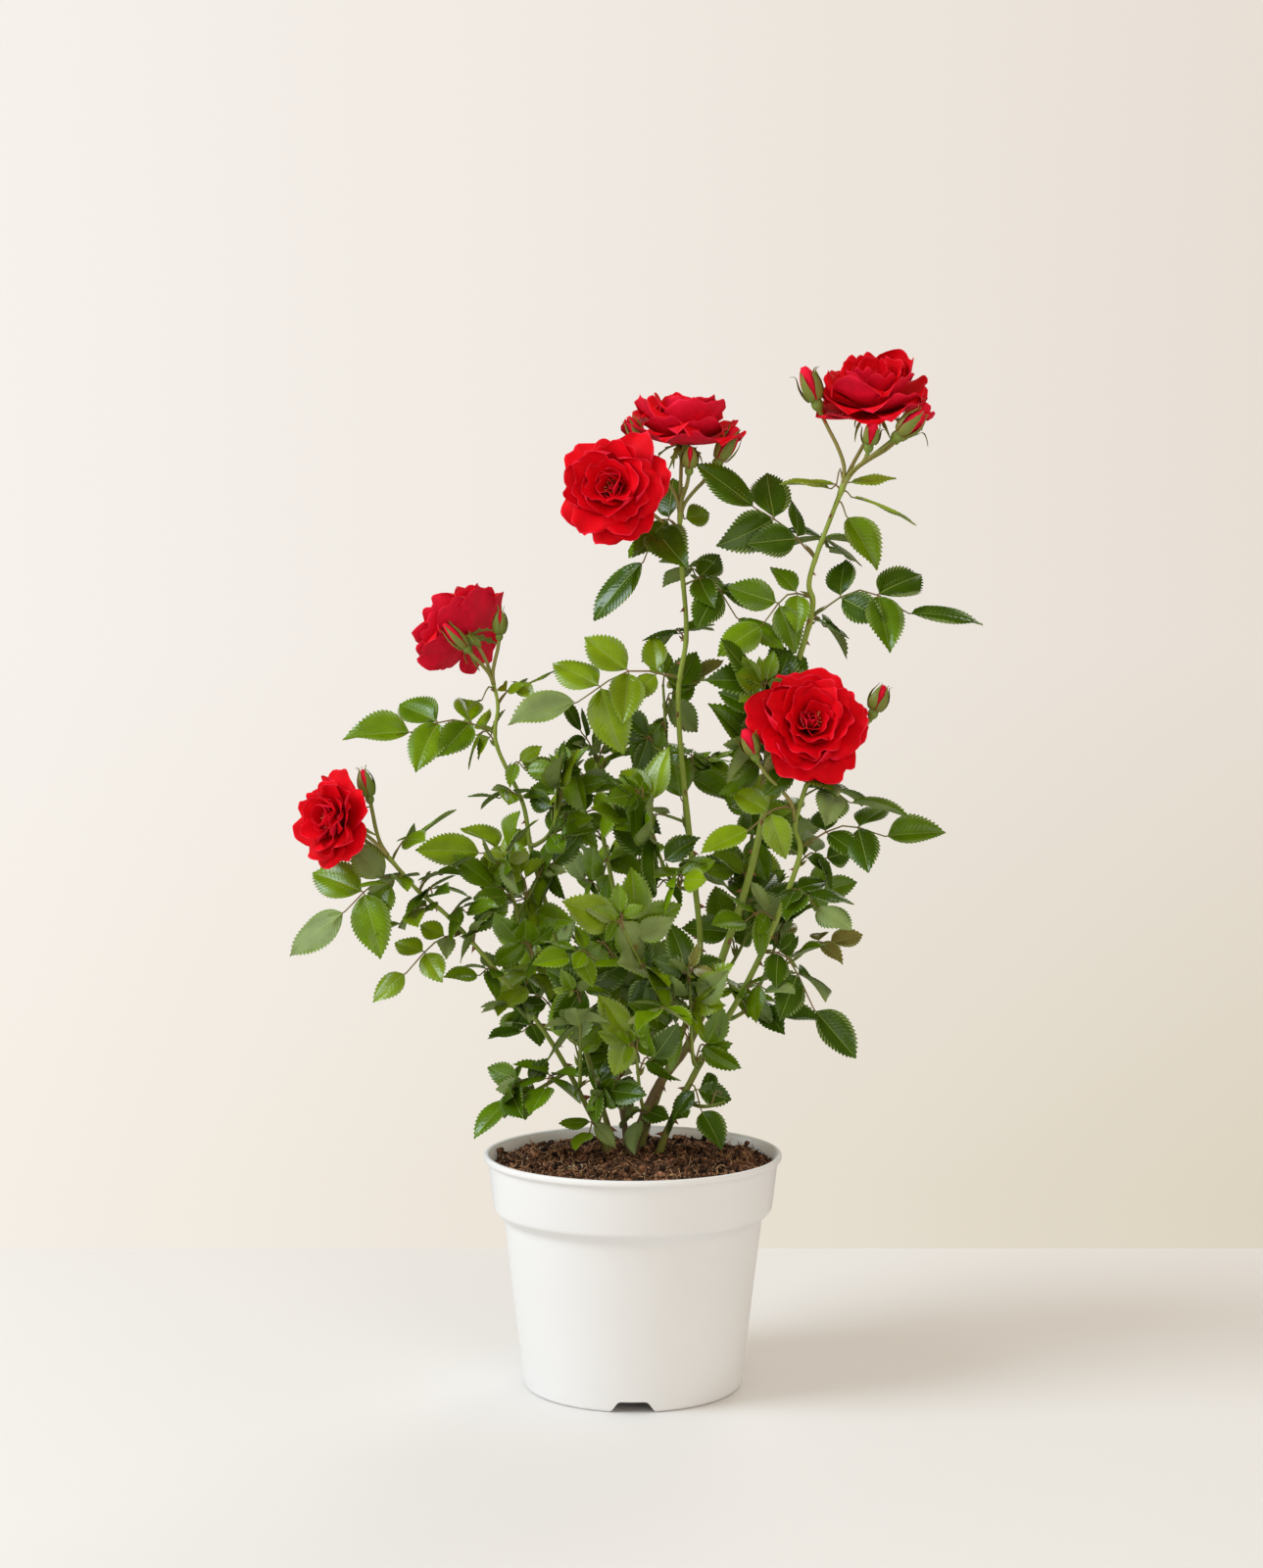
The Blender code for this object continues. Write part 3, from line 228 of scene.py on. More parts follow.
class Route:
    """A smooth line through its points, in millimetres."""

    def __init__(self, points, first=None):
        self.points = [Vector(p) for p in points]
        before = self.points[0] - (first or self.points[1] - self.points[0])
        after = 2 * self.points[-1] - self.points[-2]
        self.padded = [before, *self.points, after]

    def at(self, share):
        """The point at a share of the way, from 0 to 1."""
        spans = len(self.points) - 1
        span = min(int(share * spans), spans - 1)
        t = share * spans - span
        a, b, c, d = self.padded[span:span + 4]
        return 0.5 * (2 * b + (c - a) * t + (2 * a - 5 * b + 4 * c - d) * t**2
                      + (3 * b - a - 3 * c + d) * t**3)

    def direction(self, share):
        low, high = max(share - 0.01, 0), min(share + 0.01, 1)
        return (self.at(high) - self.at(low)).normalized()

    def share_at(self, height):
        """The share of the way at which a rising line passes a height."""
        low, high = 0.0, 1.0
        while high - low > 1e-4:
            middle = (low + high) / 2
            low, high = (middle, high) if self.at(middle).z < height else (low, middle)
        return (low + high) / 2

    def along(self, shares):
        return [self.at(float(share)) for share in shares]


def cane_of(shoot):
    return next(cane for cane in CANES if cane.name == shoot.cane)


def cane_route(cane):
    """The cane's line: it leaves the soil upright."""
    rise = cane.route[1][2] - cane.route[0][2]
    return Route(cane.route, first=Vector((0, 0, rise * 0.6)))


def cane_radius(cane, share):
    """Taper from foot to tip, with a flare that is gone soon above the soil."""
    flare = cane.flare * math.exp(-share * 40)
    return cane.foot_radius + (cane.tip_radius - cane.foot_radius) * share + flare


BARK_SHARE = 0.84  # the bark is this much slimmer than the solid


def bark_radius(cane, share):
    return cane_radius(cane, share) * BARK_SHARE


def side_of(along, face):
    return along.cross(face).normalized()


def square_to(along, face):
    """face, turned square to along."""
    flat = face - along * face.dot(along)
    return flat.normalized() if flat.length > 1e-3 else along.orthogonal().normalized()


def upper_side(along):
    """The side of a line that looks up, or towards the camera where the line itself goes up."""
    return square_to(along, UP if abs(along.z) < 0.9 else FRONT)


def spoke(along, angle):
    """A side of a line, at an angle round it."""
    return Quaternion(along, angle) @ square_to(along, Vector((1, 0, 0)))


def leaf_face(along, place, rng):
    """Which way a leaf's upper side looks: up, out of the bush and to the light."""
    outward = Vector((place.x, place.y - BUSH_MIDDLE, 0)).normalized()
    wander = Vector([rng.uniform(-1, 1) for _ in range(3)])
    return square_to(along, UP * 0.42 + outward * 0.35 + LIGHT * 0.6 + wander * 0.42)


def leaf_plan(base, reach, pairs, size, arch, slim, rng):
    """One rose leaf: its stalk, and its leaflets, first the one at its end and then the pairs along it."""
    reach = Vector(reach)
    end = base + reach * max(1 - size / reach.length, 0.08)
    middle = (base + end) / 2 + UP * arch
    stalk = Route((base, middle, end))
    face = leaf_face(reach.normalized(), base + reach, rng)
    leaflets = []

    def leaflet(root, along, length):
        turn = Quaternion(along, rng.uniform(-LEAFLET_TURN, LEAFLET_TURN))
        facing = turn @ square_to(along, face)
        leaflets.append(Leaflet(root, along, facing, length, length * LEAFLET_WIDTH * slim))

    for place, share in zip(PAIR_PLACES[pairs], PAIR_SIZES[pairs]):
        root, forward = stalk.at(place), stalk.direction(place)
        side = side_of(forward, face)
        for hand in (-1, 1):
            angle = PAIR_ANGLE + rng.uniform(-ANGLE_SPREAD, ANGLE_SPREAD)
            along = forward * math.cos(angle) + side * hand * math.sin(angle) + face * rng.uniform(-0.25, 0.1)
            leaflet(root, along.normalized(), size * share * rng.uniform(0.92, 1.05))
    leaflet(end, (base + reach - end).normalized(), size)
    return stalk, leaflets[-1:] + leaflets[:-1]


def bend(start, out, end, arrive, count=5):
    """Points of a cubic curve that leaves along out and arrives along arrive."""
    span = (end - start).length
    a, b = start + out * span * BEND_OUT, end - arrive * span * BEND_IN
    points = []
    for i in range(count):
        t = i / (count - 1)
        points.append(start * (1 - t)**3 + a * 3 * t * (1 - t)**2 + b * 3 * t**2 * (1 - t) + end * t**3)
    return points


def shoot_route(shoot):
    """A side shoot's line: square out of the cane's side, then up to its tip."""
    cane = cane_of(shoot)
    route, reach = cane_route(cane), Vector(shoot.reach)
    share = route.share_at(shoot.height)
    out = square_to(route.direction(share), Vector((reach.x, reach.y, 0)))
    start = route.at(share) + out * (cane_radius(cane, share) + CLEAR + SLACK)
    tip = route.at(share) + reach
    arrive = (reach.normalized() + UP * 0.5).normalized()
    return Route([start, *bend(start + out * STRAIGHT, out, tip, arrive)])


def shoot_leaves(shoot, route, rng):
    """Bases and reaches of a shoot's leaves, turning round the stem, the lowest the longest."""
    first, count = rng.uniform(0, math.tau), max(3, shoot.leaves - FEWER_LEAVES)
    for i in range(count):
        share = FIRST_LEAF + (1 - FIRST_LEAF) * i / (count - 1)
        forward = route.direction(share)
        side = square_to(forward, UP)
        across = side_of(forward, side)
        angle = first + i * PHYLLOTAXIS
        out = side * math.cos(angle) + across * math.sin(angle)
        # leaves stand out widely low on the shoot and gather round its tip
        way = (out * 1.3 + forward * (0.75 + 1.1 * share) + UP * 0.15 + LIGHT * 0.1).normalized()
        yield route.at(share), way * shoot.length * (1.08 - 0.3 * share) * rng.uniform(0.88, 1.08)


# ==== Meshes, gathered from numpy arrays in millimetres ====


def linked(name, data):
    """A new object of the scene."""
    thing = bpy.data.objects.new(name, data)
    bpy.context.scene.collection.objects.link(thing)
    return thing


class Pile:
    """Faces of many things gathered into one mesh; materials are numbered as they are first used."""

    def __init__(self, *materials):
        self.materials = list(materials)
        self.points, self.corners, self.sizes, self.paints = [], [], [], []
        self.count = 0

    def number(self, material):
        if material not in self.materials:
            self.materials.append(material)
        return self.materials.index(material)

    def add(self, points, *patches):
        """points in rows of 3; each patch is (faces, material or one material number for each face)."""
        for faces, paint in patches:
            faces = np.asarray(faces, np.int32)
            self.corners.append((faces + self.count).ravel())
            self.sizes.append(np.full(len(faces), faces.shape[1], np.int32))
            number = paint if isinstance(paint, np.ndarray) else self.number(paint)
            self.paints.append(np.broadcast_to(np.asarray(number, np.int32), len(faces)))
        self.points.append(np.asarray(points, np.float32).reshape(-1, 3))
        self.count += len(self.points[-1])

    def made(self, name, slot, sharp=None, replaced=()):
        """One object of it all, in metres, riding on the part."""
        mesh = bpy.data.meshes.new(name)
        points, corners = np.concatenate(self.points) * MM, np.concatenate(self.corners)
        sizes = np.concatenate(self.sizes)
        mesh.vertices.add(len(points))
        mesh.vertices.foreach_set("co", points.ravel())
        mesh.loops.add(len(corners))
        mesh.loops.foreach_set("vertex_index", corners)
        mesh.polygons.add(len(sizes))
        mesh.polygons.foreach_set("loop_start", np.concatenate([[0], np.cumsum(sizes)[:-1]]).astype(np.int32))
        mesh.polygons.foreach_set("material_index", np.concatenate(self.paints))
        for material in self.materials:
            mesh.materials.append(material)
        mesh.update(calc_edges=True)
        mesh.validate()
        mesh.shade_smooth()
        if sharp:
            mesh.set_sharp_from_angle(angle=sharp)
        piece = linked(name, mesh)
        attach(piece, "root")
        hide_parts(*replaced)
        return piece


RIM_ANGLE = math.radians(80)  # a thin sheet is shaded as two sides that meet in an edge
SHELL_FACES = {}


def shell_faces(rows, columns):
    """Faces of a thin closed sheet: its upper grid, and its lower grid turned over, on one common rim."""
    if (rows, columns) not in SHELL_FACES:
        upper = np.arange(rows * columns).reshape(rows, columns)
        lower = upper.copy()
        inner = (rows - 2) * (columns - 2)
        lower[1:-1, 1:-1] = rows * columns + np.arange(inner).reshape(rows - 2, columns - 2)

        def quads(grid, order):
            corners = (grid[:-1, :-1], grid[:-1, 1:], grid[1:, 1:], grid[1:, :-1])
            return np.stack([corners[k].ravel() for k in order], axis=1)

        SHELL_FACES[rows, columns] = quads(upper, (0, 1, 2, 3)), quads(lower, (3, 2, 1, 0))
    return SHELL_FACES[rows, columns]


def grid_normals(grid):
    """Unit normals of a grid of points, on the side from which its columns run left to right."""
    down, over = np.gradient(grid, axis=0), np.gradient(grid, axis=1)
    normals = np.cross(over, down)
    return normals / np.maximum(np.linalg.norm(normals, axis=2, keepdims=True), 1e-9)


def add_sheet(pile, grid, thickness, upper_paint, lower_paint):
    """A thin closed sheet under a grid of points. thickness is one number or one for each point."""
    rows, columns = grid.shape[:2]
    under = grid - grid_normals(grid) * np.broadcast_to(thickness, (rows, columns))[..., None]
    upper, lower = shell_faces(rows, columns)
    points = np.concatenate([grid.reshape(-1, 3), under[1:-1, 1:-1].reshape(-1, 3)])
    pile.add(points, (upper, upper_paint), (lower, lower_paint))


def placed(foot, *parts):
    """Points at a foot plus each part's distances along its direction."""
    grid = np.array(foot)
    for distances, direction in parts:
        grid = grid + distances[..., None] * np.array(direction)
    return grid


def turns_of(sides):
    """Angles that share out a full turn."""
    return np.arange(sides) * math.tau / sides


def ring_walls(numbers):
    """Faces between rows of points that each run round a ring."""
    turned = np.roll(numbers, -1, axis=1)
    return np.stack([numbers[:-1], numbers[1:], turned[1:], turned[:-1]], axis=2).reshape(-1, 4)


def round_line(points, sides):
    """Unit spokes round each point of a line."""
    side, across = carried(points)
    turns = turns_of(sides)
    return side[:, None] * np.cos(turns)[None, :, None] + across[:, None] * np.sin(turns)[None, :, None]


def carried(points):
    """Two sides of a line at each of its points, that turn with it and don't twist."""
    points = np.asarray(points, float)
    along = np.gradient(points, axis=0)
    along /= np.linalg.norm(along, axis=1, keepdims=True)
    side = np.cross(along[0], (0.31, 0.94, 0.12))
    side /= np.linalg.norm(side)
    sides = []
    for direction in along:
        side = side - direction * side.dot(direction)
        side /= np.linalg.norm(side)
        sides.append(side)
    sides = np.array(sides)
    return sides, np.cross(along, sides)


def add_tube(pile, points, radii, sides, paint):
    """A closed tube along a line of points. radii has one number for each point, or one for each corner."""
    points = np.asarray(points, float)
    count = len(points)
    radii = np.asarray(radii, float)
    radii = np.broadcast_to(radii[:, None] if radii.ndim == 1 else radii, (count, sides))
    ring = points[:, None] + round_line(points, sides) * radii[..., None]
    numbers = np.arange(count * sides).reshape(count, sides)
    first, last = numbers[0], numbers[-1]
    walls = ring_walls(numbers)[:, [0, 3, 2, 1]]
    foot, tip = np.full(sides, count * sides), np.full(sides, count * sides + 1)
    caps = np.concatenate([np.stack([np.roll(first, -1), first, foot], axis=1),
                           np.stack([last, np.roll(last, -1), tip], axis=1)])
    pile.add(np.concatenate([ring.reshape(-1, 3), points[:1], points[-1:]]), (walls, paint), (caps, paint))


def ripple(points, wavelength, seed, waves=9):
    """Smooth seeded noise from -1 to 1 at rows of points: waves that cross in all directions."""
    rng = np.random.default_rng(seed)
    directions = rng.normal(size=(waves, 3))
    directions /= np.linalg.norm(directions, axis=1, keepdims=True)
    pitches = math.tau / (wavelength * rng.uniform(0.6, 1.5, waves))
    turns = np.asarray(points) @ (directions * pitches[:, None]).T + rng.uniform(0, math.tau, waves)
    return np.sin(turns).sum(axis=-1) / math.sqrt(waves) / 1.6


# ==== Materials ====


def new_material(name, colour, roughness, **sockets):
    """A Principled material. sockets are its other inputs, with _ for spaces."""
    material = bpy.data.materials.new(name)
    material.use_nodes = True
    shader = material.node_tree.nodes["Principled BSDF"]
    shader.inputs["Base Color"].default_value = (*colour, 1)
    shader.inputs["Roughness"].default_value = roughness
    for socket, value in sockets.items():
        shader.inputs[socket.replace("_", " ")].default_value = value
    return material


def add_node(owner, kind, links=(), **settings):
    """A shader node of a material or the world; links are (its input, another node, that node's output)."""
    tree = owner.node_tree
    node = tree.nodes.new("ShaderNode" + kind)
    for name, value in settings.items():
        if name in node.inputs:
            node.inputs[name].default_value = value
        else:
            setattr(node, name, value)
    for socket, other, output in links:
        tree.links.new(other.outputs[output], node.inputs[socket])
    return node


def noise_of(material, scale, detail=3.0, roughness=0.55, stretch=None):
    """Noise in the object's own space, scale waves to the metre."""
    place, output = add_node(material, "TexCoord"), "Object"
    if stretch:
        place, output = add_node(material, "Mapping", [("Vector", place, output)], Scale=stretch), "Vector"
    return add_node(material, "TexNoise", [("Vector", place, output)], Scale=scale, Detail=detail,
                    Roughness=roughness)


def ramp_of(material, source, output, stops):
    """A colour ramp over a value; stops are (place, colour)."""
    ramp = add_node(material, "ValToRGB", [("Fac", source, output)])
    band = ramp.color_ramp
    while len(band.elements) < len(stops):
        band.elements.new(0.5)
    for element, (place, colour) in zip(band.elements, stops):
        element.position = place
        element.color = (*colour, 1)
    return ramp


def shaded(material, source, output, socket):
    shader = material.node_tree.nodes["Principled BSDF"]
    material.node_tree.links.new(source.outputs[output], shader.inputs[socket])


def tinted(material, source, output, *stops):
    """Base colour from a ramp over a value; stops are (place, colour)."""
    shaded(material, ramp_of(material, source, output, stops), "Color", "Base Color")


def roughened(material, source, output, depth, strength=1.0):
    """Bump from a value, depth in metres."""
    bump = add_node(material, "Bump", [("Height", source, output)], Strength=strength, Distance=depth)
    shaded(material, bump, "Normal", "Normal")


def mottled(material, colour, spread, scale):
    """Base colour that wanders a little, lighter and darker, over the piece."""
    dark = tuple(c * (1 - spread) for c in colour)
    light = tuple(c * (1 + spread) for c in colour)
    tinted(material, noise_of(material, scale), "Fac", (0.3, dark), (0.7, light))


def leaf_paint(name, colour, roughness):
    """A leaf's side: its green wanders a little, and a net of small veins dents it."""
    material = new_material(name, colour, roughness, Specular_IOR_Level=0.42)
    mottled(material, colour, 0.2, 60)
    place = add_node(material, "TexCoord")
    net = add_node(material, "TexVoronoi", [("Vector", place, "Object")], Scale=620.0)
    roughened(material, net, "Distance", 0.0004, 0.16)
    return material


# upper sides: deep, dark, mid and bright are one green painted darker or lighter as painted shade and light,
# then the young ones at the tips, and bronze
LEAF_GREENS = {
    "deep": (0.05, 0.105, 0.0),
    "dark": (0.096, 0.184, 0.0),
    "mid": (0.136, 0.236, 0.0),
    "bright": (0.185, 0.28, 0.002),
    "young": (0.22, 0.3, 0.015),
    "bronze": (0.18, 0.16, 0.03),
}
LEAF = {name: leaf_paint("leaf_" + name, colour, 0.27) for name, colour in LEAF_GREENS.items()}
UNDER = {
    "old": leaf_paint("leaf_underside", (0.2, 0.27, 0.075), 0.6),
    "young": leaf_paint("leaf_underside_young", (0.28, 0.34, 0.1), 0.6),
}
MIDRIB = new_material("leaf_midrib", (0.22, 0.3, 0.05), 0.5)


def stem_paint(name, sun, shade, roughness=0.5):
    """Young bark: green, streaked along the stem with the colour of its sunny side."""
    material = new_material(name, sun, roughness)
    streaks = noise_of(material, 70, 4, stretch=(1, 1, 0.16))
    tinted(material, streaks, "Fac", (0.35, shade), (0.65, sun))
    roughened(material, noise_of(material, 900, 3, stretch=(1, 1, 0.2)), "Fac", 0.0002, 0.5)
    return material


GREEN_STEM = stem_paint("stem_green", (0.24, 0.28, 0.04), (0.13, 0.2, 0.02))
STALK = stem_paint("flower_stalk", (0.3, 0.24, 0.06), (0.2, 0.24, 0.04))
LEAF_STALK = stem_paint("leaf_stalk", (0.24, 0.13, 0.045), (0.17, 0.18, 0.03))
SEPAL = stem_paint("sepal", (0.22, 0.19, 0.03), (0.13, 0.2, 0.015), 0.55)
HIP = stem_paint("hip", (0.2, 0.27, 0.03), (0.13, 0.2, 0.02), 0.45)
THORN = stem_paint("thorn", (0.3, 0.085, 0.045), (0.2, 0.12, 0.04), 0.4)
STAMEN = new_material("stamen", (0.72, 0.42, 0.12), 0.7)


def petal_paint(name, colour, roughness):
    """Velvet: rough and hardly shiny, with a trace of sheen and a fine grain."""
    material = new_material(name, colour, roughness, Sheen_Weight=0.03, Sheen_Roughness=0.4,
                            Sheen_Tint=(1, 0.1, 0.15, 1), Specular_IOR_Level=0.07)
    mottled(material, colour, 0.14, 130)
    roughened(material, noise_of(material, 1100, 2), "Fac", 0.00015, 0.4)
    return material


PETAL = {
    "face": petal_paint("petal_face", (0.67, 0.0, 0.006), 0.6),
    "heart": petal_paint("petal_heart", (0.62, 0.0, 0.006), 0.6),
    "back": petal_paint("petal_back", (0.7, 0.008, 0.034), 0.55),
    # a painted highlight: the paler line along each petal's rim
    "rim": petal_paint("petal_rim", (0.76, 0.015, 0.04), 0.55),
}
PALE = new_material("petal_pale", (0.85, 0.3, 0.3), 0.6)


def plastic(name, grey):
    """White moulded plastic, satin, with a faint unevenness."""
    material = new_material(name, (grey, grey, grey), 0.42, Specular_IOR_Level=0.4)
    mottled(material, (grey, grey, grey), 0.015 / grey, 9)
    roughened(material, noise_of(material, 420, 2), "Fac", 0.00015, 0.25)
    return material


def soil_paint(name, dark, light):
    """Earth or fibre: dull, and patchy from dark to light."""
    material = new_material(name, light, 0.95, Specular_IOR_Level=0.2)
    tinted(material, noise_of(material, 170, 5, 0.75), "Fac", (0.32, dark), (0.7, light))
    roughened(material, noise_of(material, 700, 5, 0.7), "Fac", 0.0012, 0.9)
    return material


STREAKED = 0.9  # how much the streaks shift a bark's colour, against the whole rise from foot to top


def bark_paint(name, foot, top, low, high):
    """Bark that runs from one colour at the foot to another higher up, streaked along the cane."""
    material = new_material(name, top, 0.5, Specular_IOR_Level=0.45)
    place = add_node(material, "SeparateXYZ", [("Vector", add_node(material, "TexCoord"), "Object")])
    streaks = noise_of(material, 160, 5, 0.65, stretch=(1, 1, 0.14))
    rise = add_node(material, "MapRange", [("Value", place, "Z")], **{"From Min": low, "From Max": high})
    evened = add_node(material, "Math", [(0, streaks, "Fac")], operation="SUBTRACT")
    evened.inputs[1].default_value = 0.5
    mixed = add_node(material, "Math", [(0, evened, 0), (2, rise, "Result")], operation="MULTIPLY_ADD")
    mixed.inputs[1].default_value = STREAKED
    dark, light = tuple(c * 0.55 for c in foot), tuple(c * 1.25 for c in top)
    tinted(material, mixed, "Value", (0.0, dark), (0.3, foot), (0.62, top), (1.0, light))
    roughened(material, noise_of(material, 650, 4, 0.6, stretch=(1, 1, 0.2)), "Fac", 0.0005, 0.7)
    return material


# ==== Blades: leaflets, petals, sepals ====

TOOTH_PITCH, TEETH_LEAST, TEETH_MOST = 2.8, 7, 16  # millimetres of leaflet to a tooth, a side
TOOTH_DEPTH = 0.04  # of the leaflet's length
QUILT = 0.016  # rise between side veins, share of the length
BLADE_THICKNESS, RIB_THICKNESS = 0.22, 0.6
LEAF_BROADER = 0.95  # blades against the source's straight-edged ones
SMALL_LEAFLET = 19
WIDE_COLUMNS = np.array([-1, -0.68, -0.32, 0, 0, 0.32, 0.68, 1])
FEW_COLUMNS = np.array([-1, -0.52, 0, 0, 0.52, 1])
BLADE_PEAK = 0.407**0.74 * 0.593**1.08


def blade_half_width(share):
    """Outline of a rose leaflet: rounded at the foot, broadest below the middle, drawn out to a tip."""
    return share**0.74 * np.clip(1 - share, 0, 1)**1.08 / BLADE_PEAK


def add_leaflet(pile, leaf, paint, under, rng):
    """One toothed leaflet with its midrib, quilted between side veins that run forward to the teeth."""
    length, start = leaf.length, min(1.8, leaf.length * 0.07)
    width = leaf.width * LEAF_BROADER
    teeth = int(np.clip(round(length / TOOTH_PITCH), TEETH_LEAST, TEETH_MOST))
    reach = FEW_COLUMNS if length < SMALL_LEAFLET else WIDE_COLUMNS
    columns, rows = len(reach), 2 * teeth + 1
    hand = np.where(np.arange(columns) < columns // 2, -1.0, 1.0)
    across = np.abs(reach)
    edge = across == 1
    t = np.linspace(0, 1, rows)[:, None]
    odd = (np.arange(rows) % 2)[:, None]
    share = t**1.6 * (1 - across) + t**0.75 * across
    rib = length * 0.006 * (1 - 0.7 * share) + 0.07
    half = np.maximum(blade_half_width(share) * width / 2, rib + 0.05)
    depth = length * TOOTH_DEPTH * np.clip(t * 7, 0, 1) * np.clip((1 - t) * 5, 0.3, 1)
    half = half + edge * depth * (0.75 * odd - 0.3)
    x = hand * (rib + across * (half - rib))
    y = share * (length - start) + edge * odd * depth * 0.8
    fold = math.tan(math.radians(rng.uniform(6, 36)))
    wave = rng.uniform(0.2, 1) * 0.022 * length
    z = np.abs(x) * fold - x**2 / width * rng.uniform(0.15, 0.75)
    z += length * QUILT * (2 * odd - 1) * np.sin(np.pi * across) * (1 - t**3)
    z += wave * across**2 * np.sin(t * rng.uniform(5, 11) + hand * rng.uniform(0, 2) + rng.uniform(0, 6))
    z += length * 0.012 * (across > 0) * (across < 1)
    z -= length * DROOP * rng.uniform(0.4, 2.2) * share**2
    twist = rng.uniform(-0.5, 0.5) * share
    x, z = x * np.cos(twist) - z * np.sin(twist), x * np.sin(twist) + z * np.cos(twist)
    along, face = np.array(leaf.along), np.array(leaf.face)
    grid = placed(np.array(leaf.root) + along * start, (y, along), (x, np.cross(along, face)), (z, face))
    thickness = np.where(across == 0, RIB_THICKNESS * np.clip(length / 40, 0.4, 1), BLADE_THICKNESS)
    ribs = np.arange(columns - 1) == columns // 2 - 1
    tops, lows = (np.tile(np.where(ribs, pile.number(MIDRIB), pile.number(face_paint)), rows - 1)
                  for face_paint in (paint, under))
    add_sheet(pile, grid, thickness[None, :], tops, lows)


PETAL_ROWS, PETAL_COLUMNS = 13, 13
PETAL_THICKNESS = 0.4
RIM_ROW = 0.972  # the rim beyond this share of a petal is painted paler: a painted highlight along its edge

# ring of petals: how many; rise at the foot and at the rim in degrees, in a flat and in a bowl-shaped bloom;
# length and width in radii; how far it cups, and how far its corners roll back
Ring = namedtuple("Ring", "count flat bowl length width cup roll heart", defaults=(False,))

RINGS = (
    Ring(6, (42, -14), (-10, 42), 1.06, 0.98, 0.06, 0.3),
    Ring(6, (54, 6), (6, 54), 1.0, 0.96, 0.12, 0.3),
    Ring(6, (64, 26), (24, 64), 0.92, 0.86, 0.2, 0.28),
    Ring(6, (74, 46), (44, 72), 0.82, 0.74, 0.34, 0.22),
    Ring(5, (80, 66), (64, 80), 0.7, 0.56, 0.5, 0.18, True),
    Ring(8, (82, 92), (78, 92), 0.52, 0.26, 0.7, 0.1, True),
)


def rolled(length, rise, lay, along, inward):
    """Distances outward and upward along a petal that bends from its rise to its lay, in degrees."""
    rise, lay = math.radians(rise), math.radians(lay)
    bend_by = lay - rise if abs(lay - rise) > 0.02 else 0.02
    angle = rise + bend_by * along
    outward = length * (np.sin(angle) - math.sin(rise)) / bend_by - np.sin(angle) * inward
    upward = length * (math.cos(rise) - np.cos(angle)) / bend_by + np.cos(angle) * inward
    return outward, upward


def petal_grid(foot, out, facing, length, width, rise, lay, cup, roll, frill, rng):
    """One petal from its claw to its ruffled rim, its hollow side towards the middle of the bloom."""
    v = np.append(np.linspace(0, RIM_ROW, PETAL_ROWS - 1)**0.9, 1)[:, None]
    u = np.linspace(-1, 1, PETAL_COLUMNS)[None, :]
    centre = rng.uniform(-0.3, 0.3)
    dip = rng.choice((0.06, 0.1, 0.13, -0.05, -0.03, 0.03))
    along = v * (1 - v * (0.15 * u**2 + 0.2 * u**6)) - dip * np.exp(-((u - centre) / 0.2)**2) * v**5
    along = along + 0.018 * np.sin(u * rng.uniform(6, 10) + rng.uniform(0, 6)) * v**4
    half = width / 2 * (0.2 + 0.8 * np.sin(np.minimum(v / 0.8, 1) * math.pi / 2)**1.15)
    half = half * (1 - 0.2 * np.clip((v - 0.75) / 0.25, 0, 1)**2)
    x = u * half
    inward = cup * half * u**2 * (1.15 - 0.4 * v)
    skew = rng.uniform(0.7, 1.3), rng.uniform(0.7, 1.3)
    corner = np.where(u < 0, skew[0], skew[1]) * np.abs(u)**2.4 * np.clip((v - 0.45) / 0.55, 0, 1)**2
    inward = inward - roll * width * 0.5 * corner
    inward = inward + 0.065 * width * frill * np.sin(u * rng.uniform(2.5, 5) + rng.uniform(0, 6)) * v**2.5
    inward = inward + 0.02 * width * np.cos(u * rng.uniform(6, 9) + rng.uniform(0, 6)) * v**5
    if rng.random() < 0.3 * frill:
        inward = inward + rng.uniform(0.15, 0.35) * width * np.abs(u - centre) * v**2
    outward, upward = rolled(length, rise, lay, along, inward)
    lean = rng.uniform(-0.16, 0.16)
    return placed(foot, (outward, out), (upward, facing), (x + lean * along * length, np.cross(out, facing)))


def add_petal(pile, grid, upper, lower):
    """A petal's two sides, with a thin paler line along the rim: a painted highlight on the edge."""
    across = PETAL_COLUMNS - 1
    inside = across * (PETAL_ROWS - 2)
    tops, lows = (np.array([pile.number(paint)] * inside + [pile.number(PETAL["rim"])] * across)
                  for paint in (upper, lower))
    add_sheet(pile, grid, PETAL_THICKNESS, tops, lows)


SEPALS, LONG_SEPAL = 5, 23
HIP_RADIUS = 3.6
LOOSE = 14  # degrees that some outer petals of a bowl hang below the others
OUTER_RINGS = 4  # these stand a little off the bloom's axis


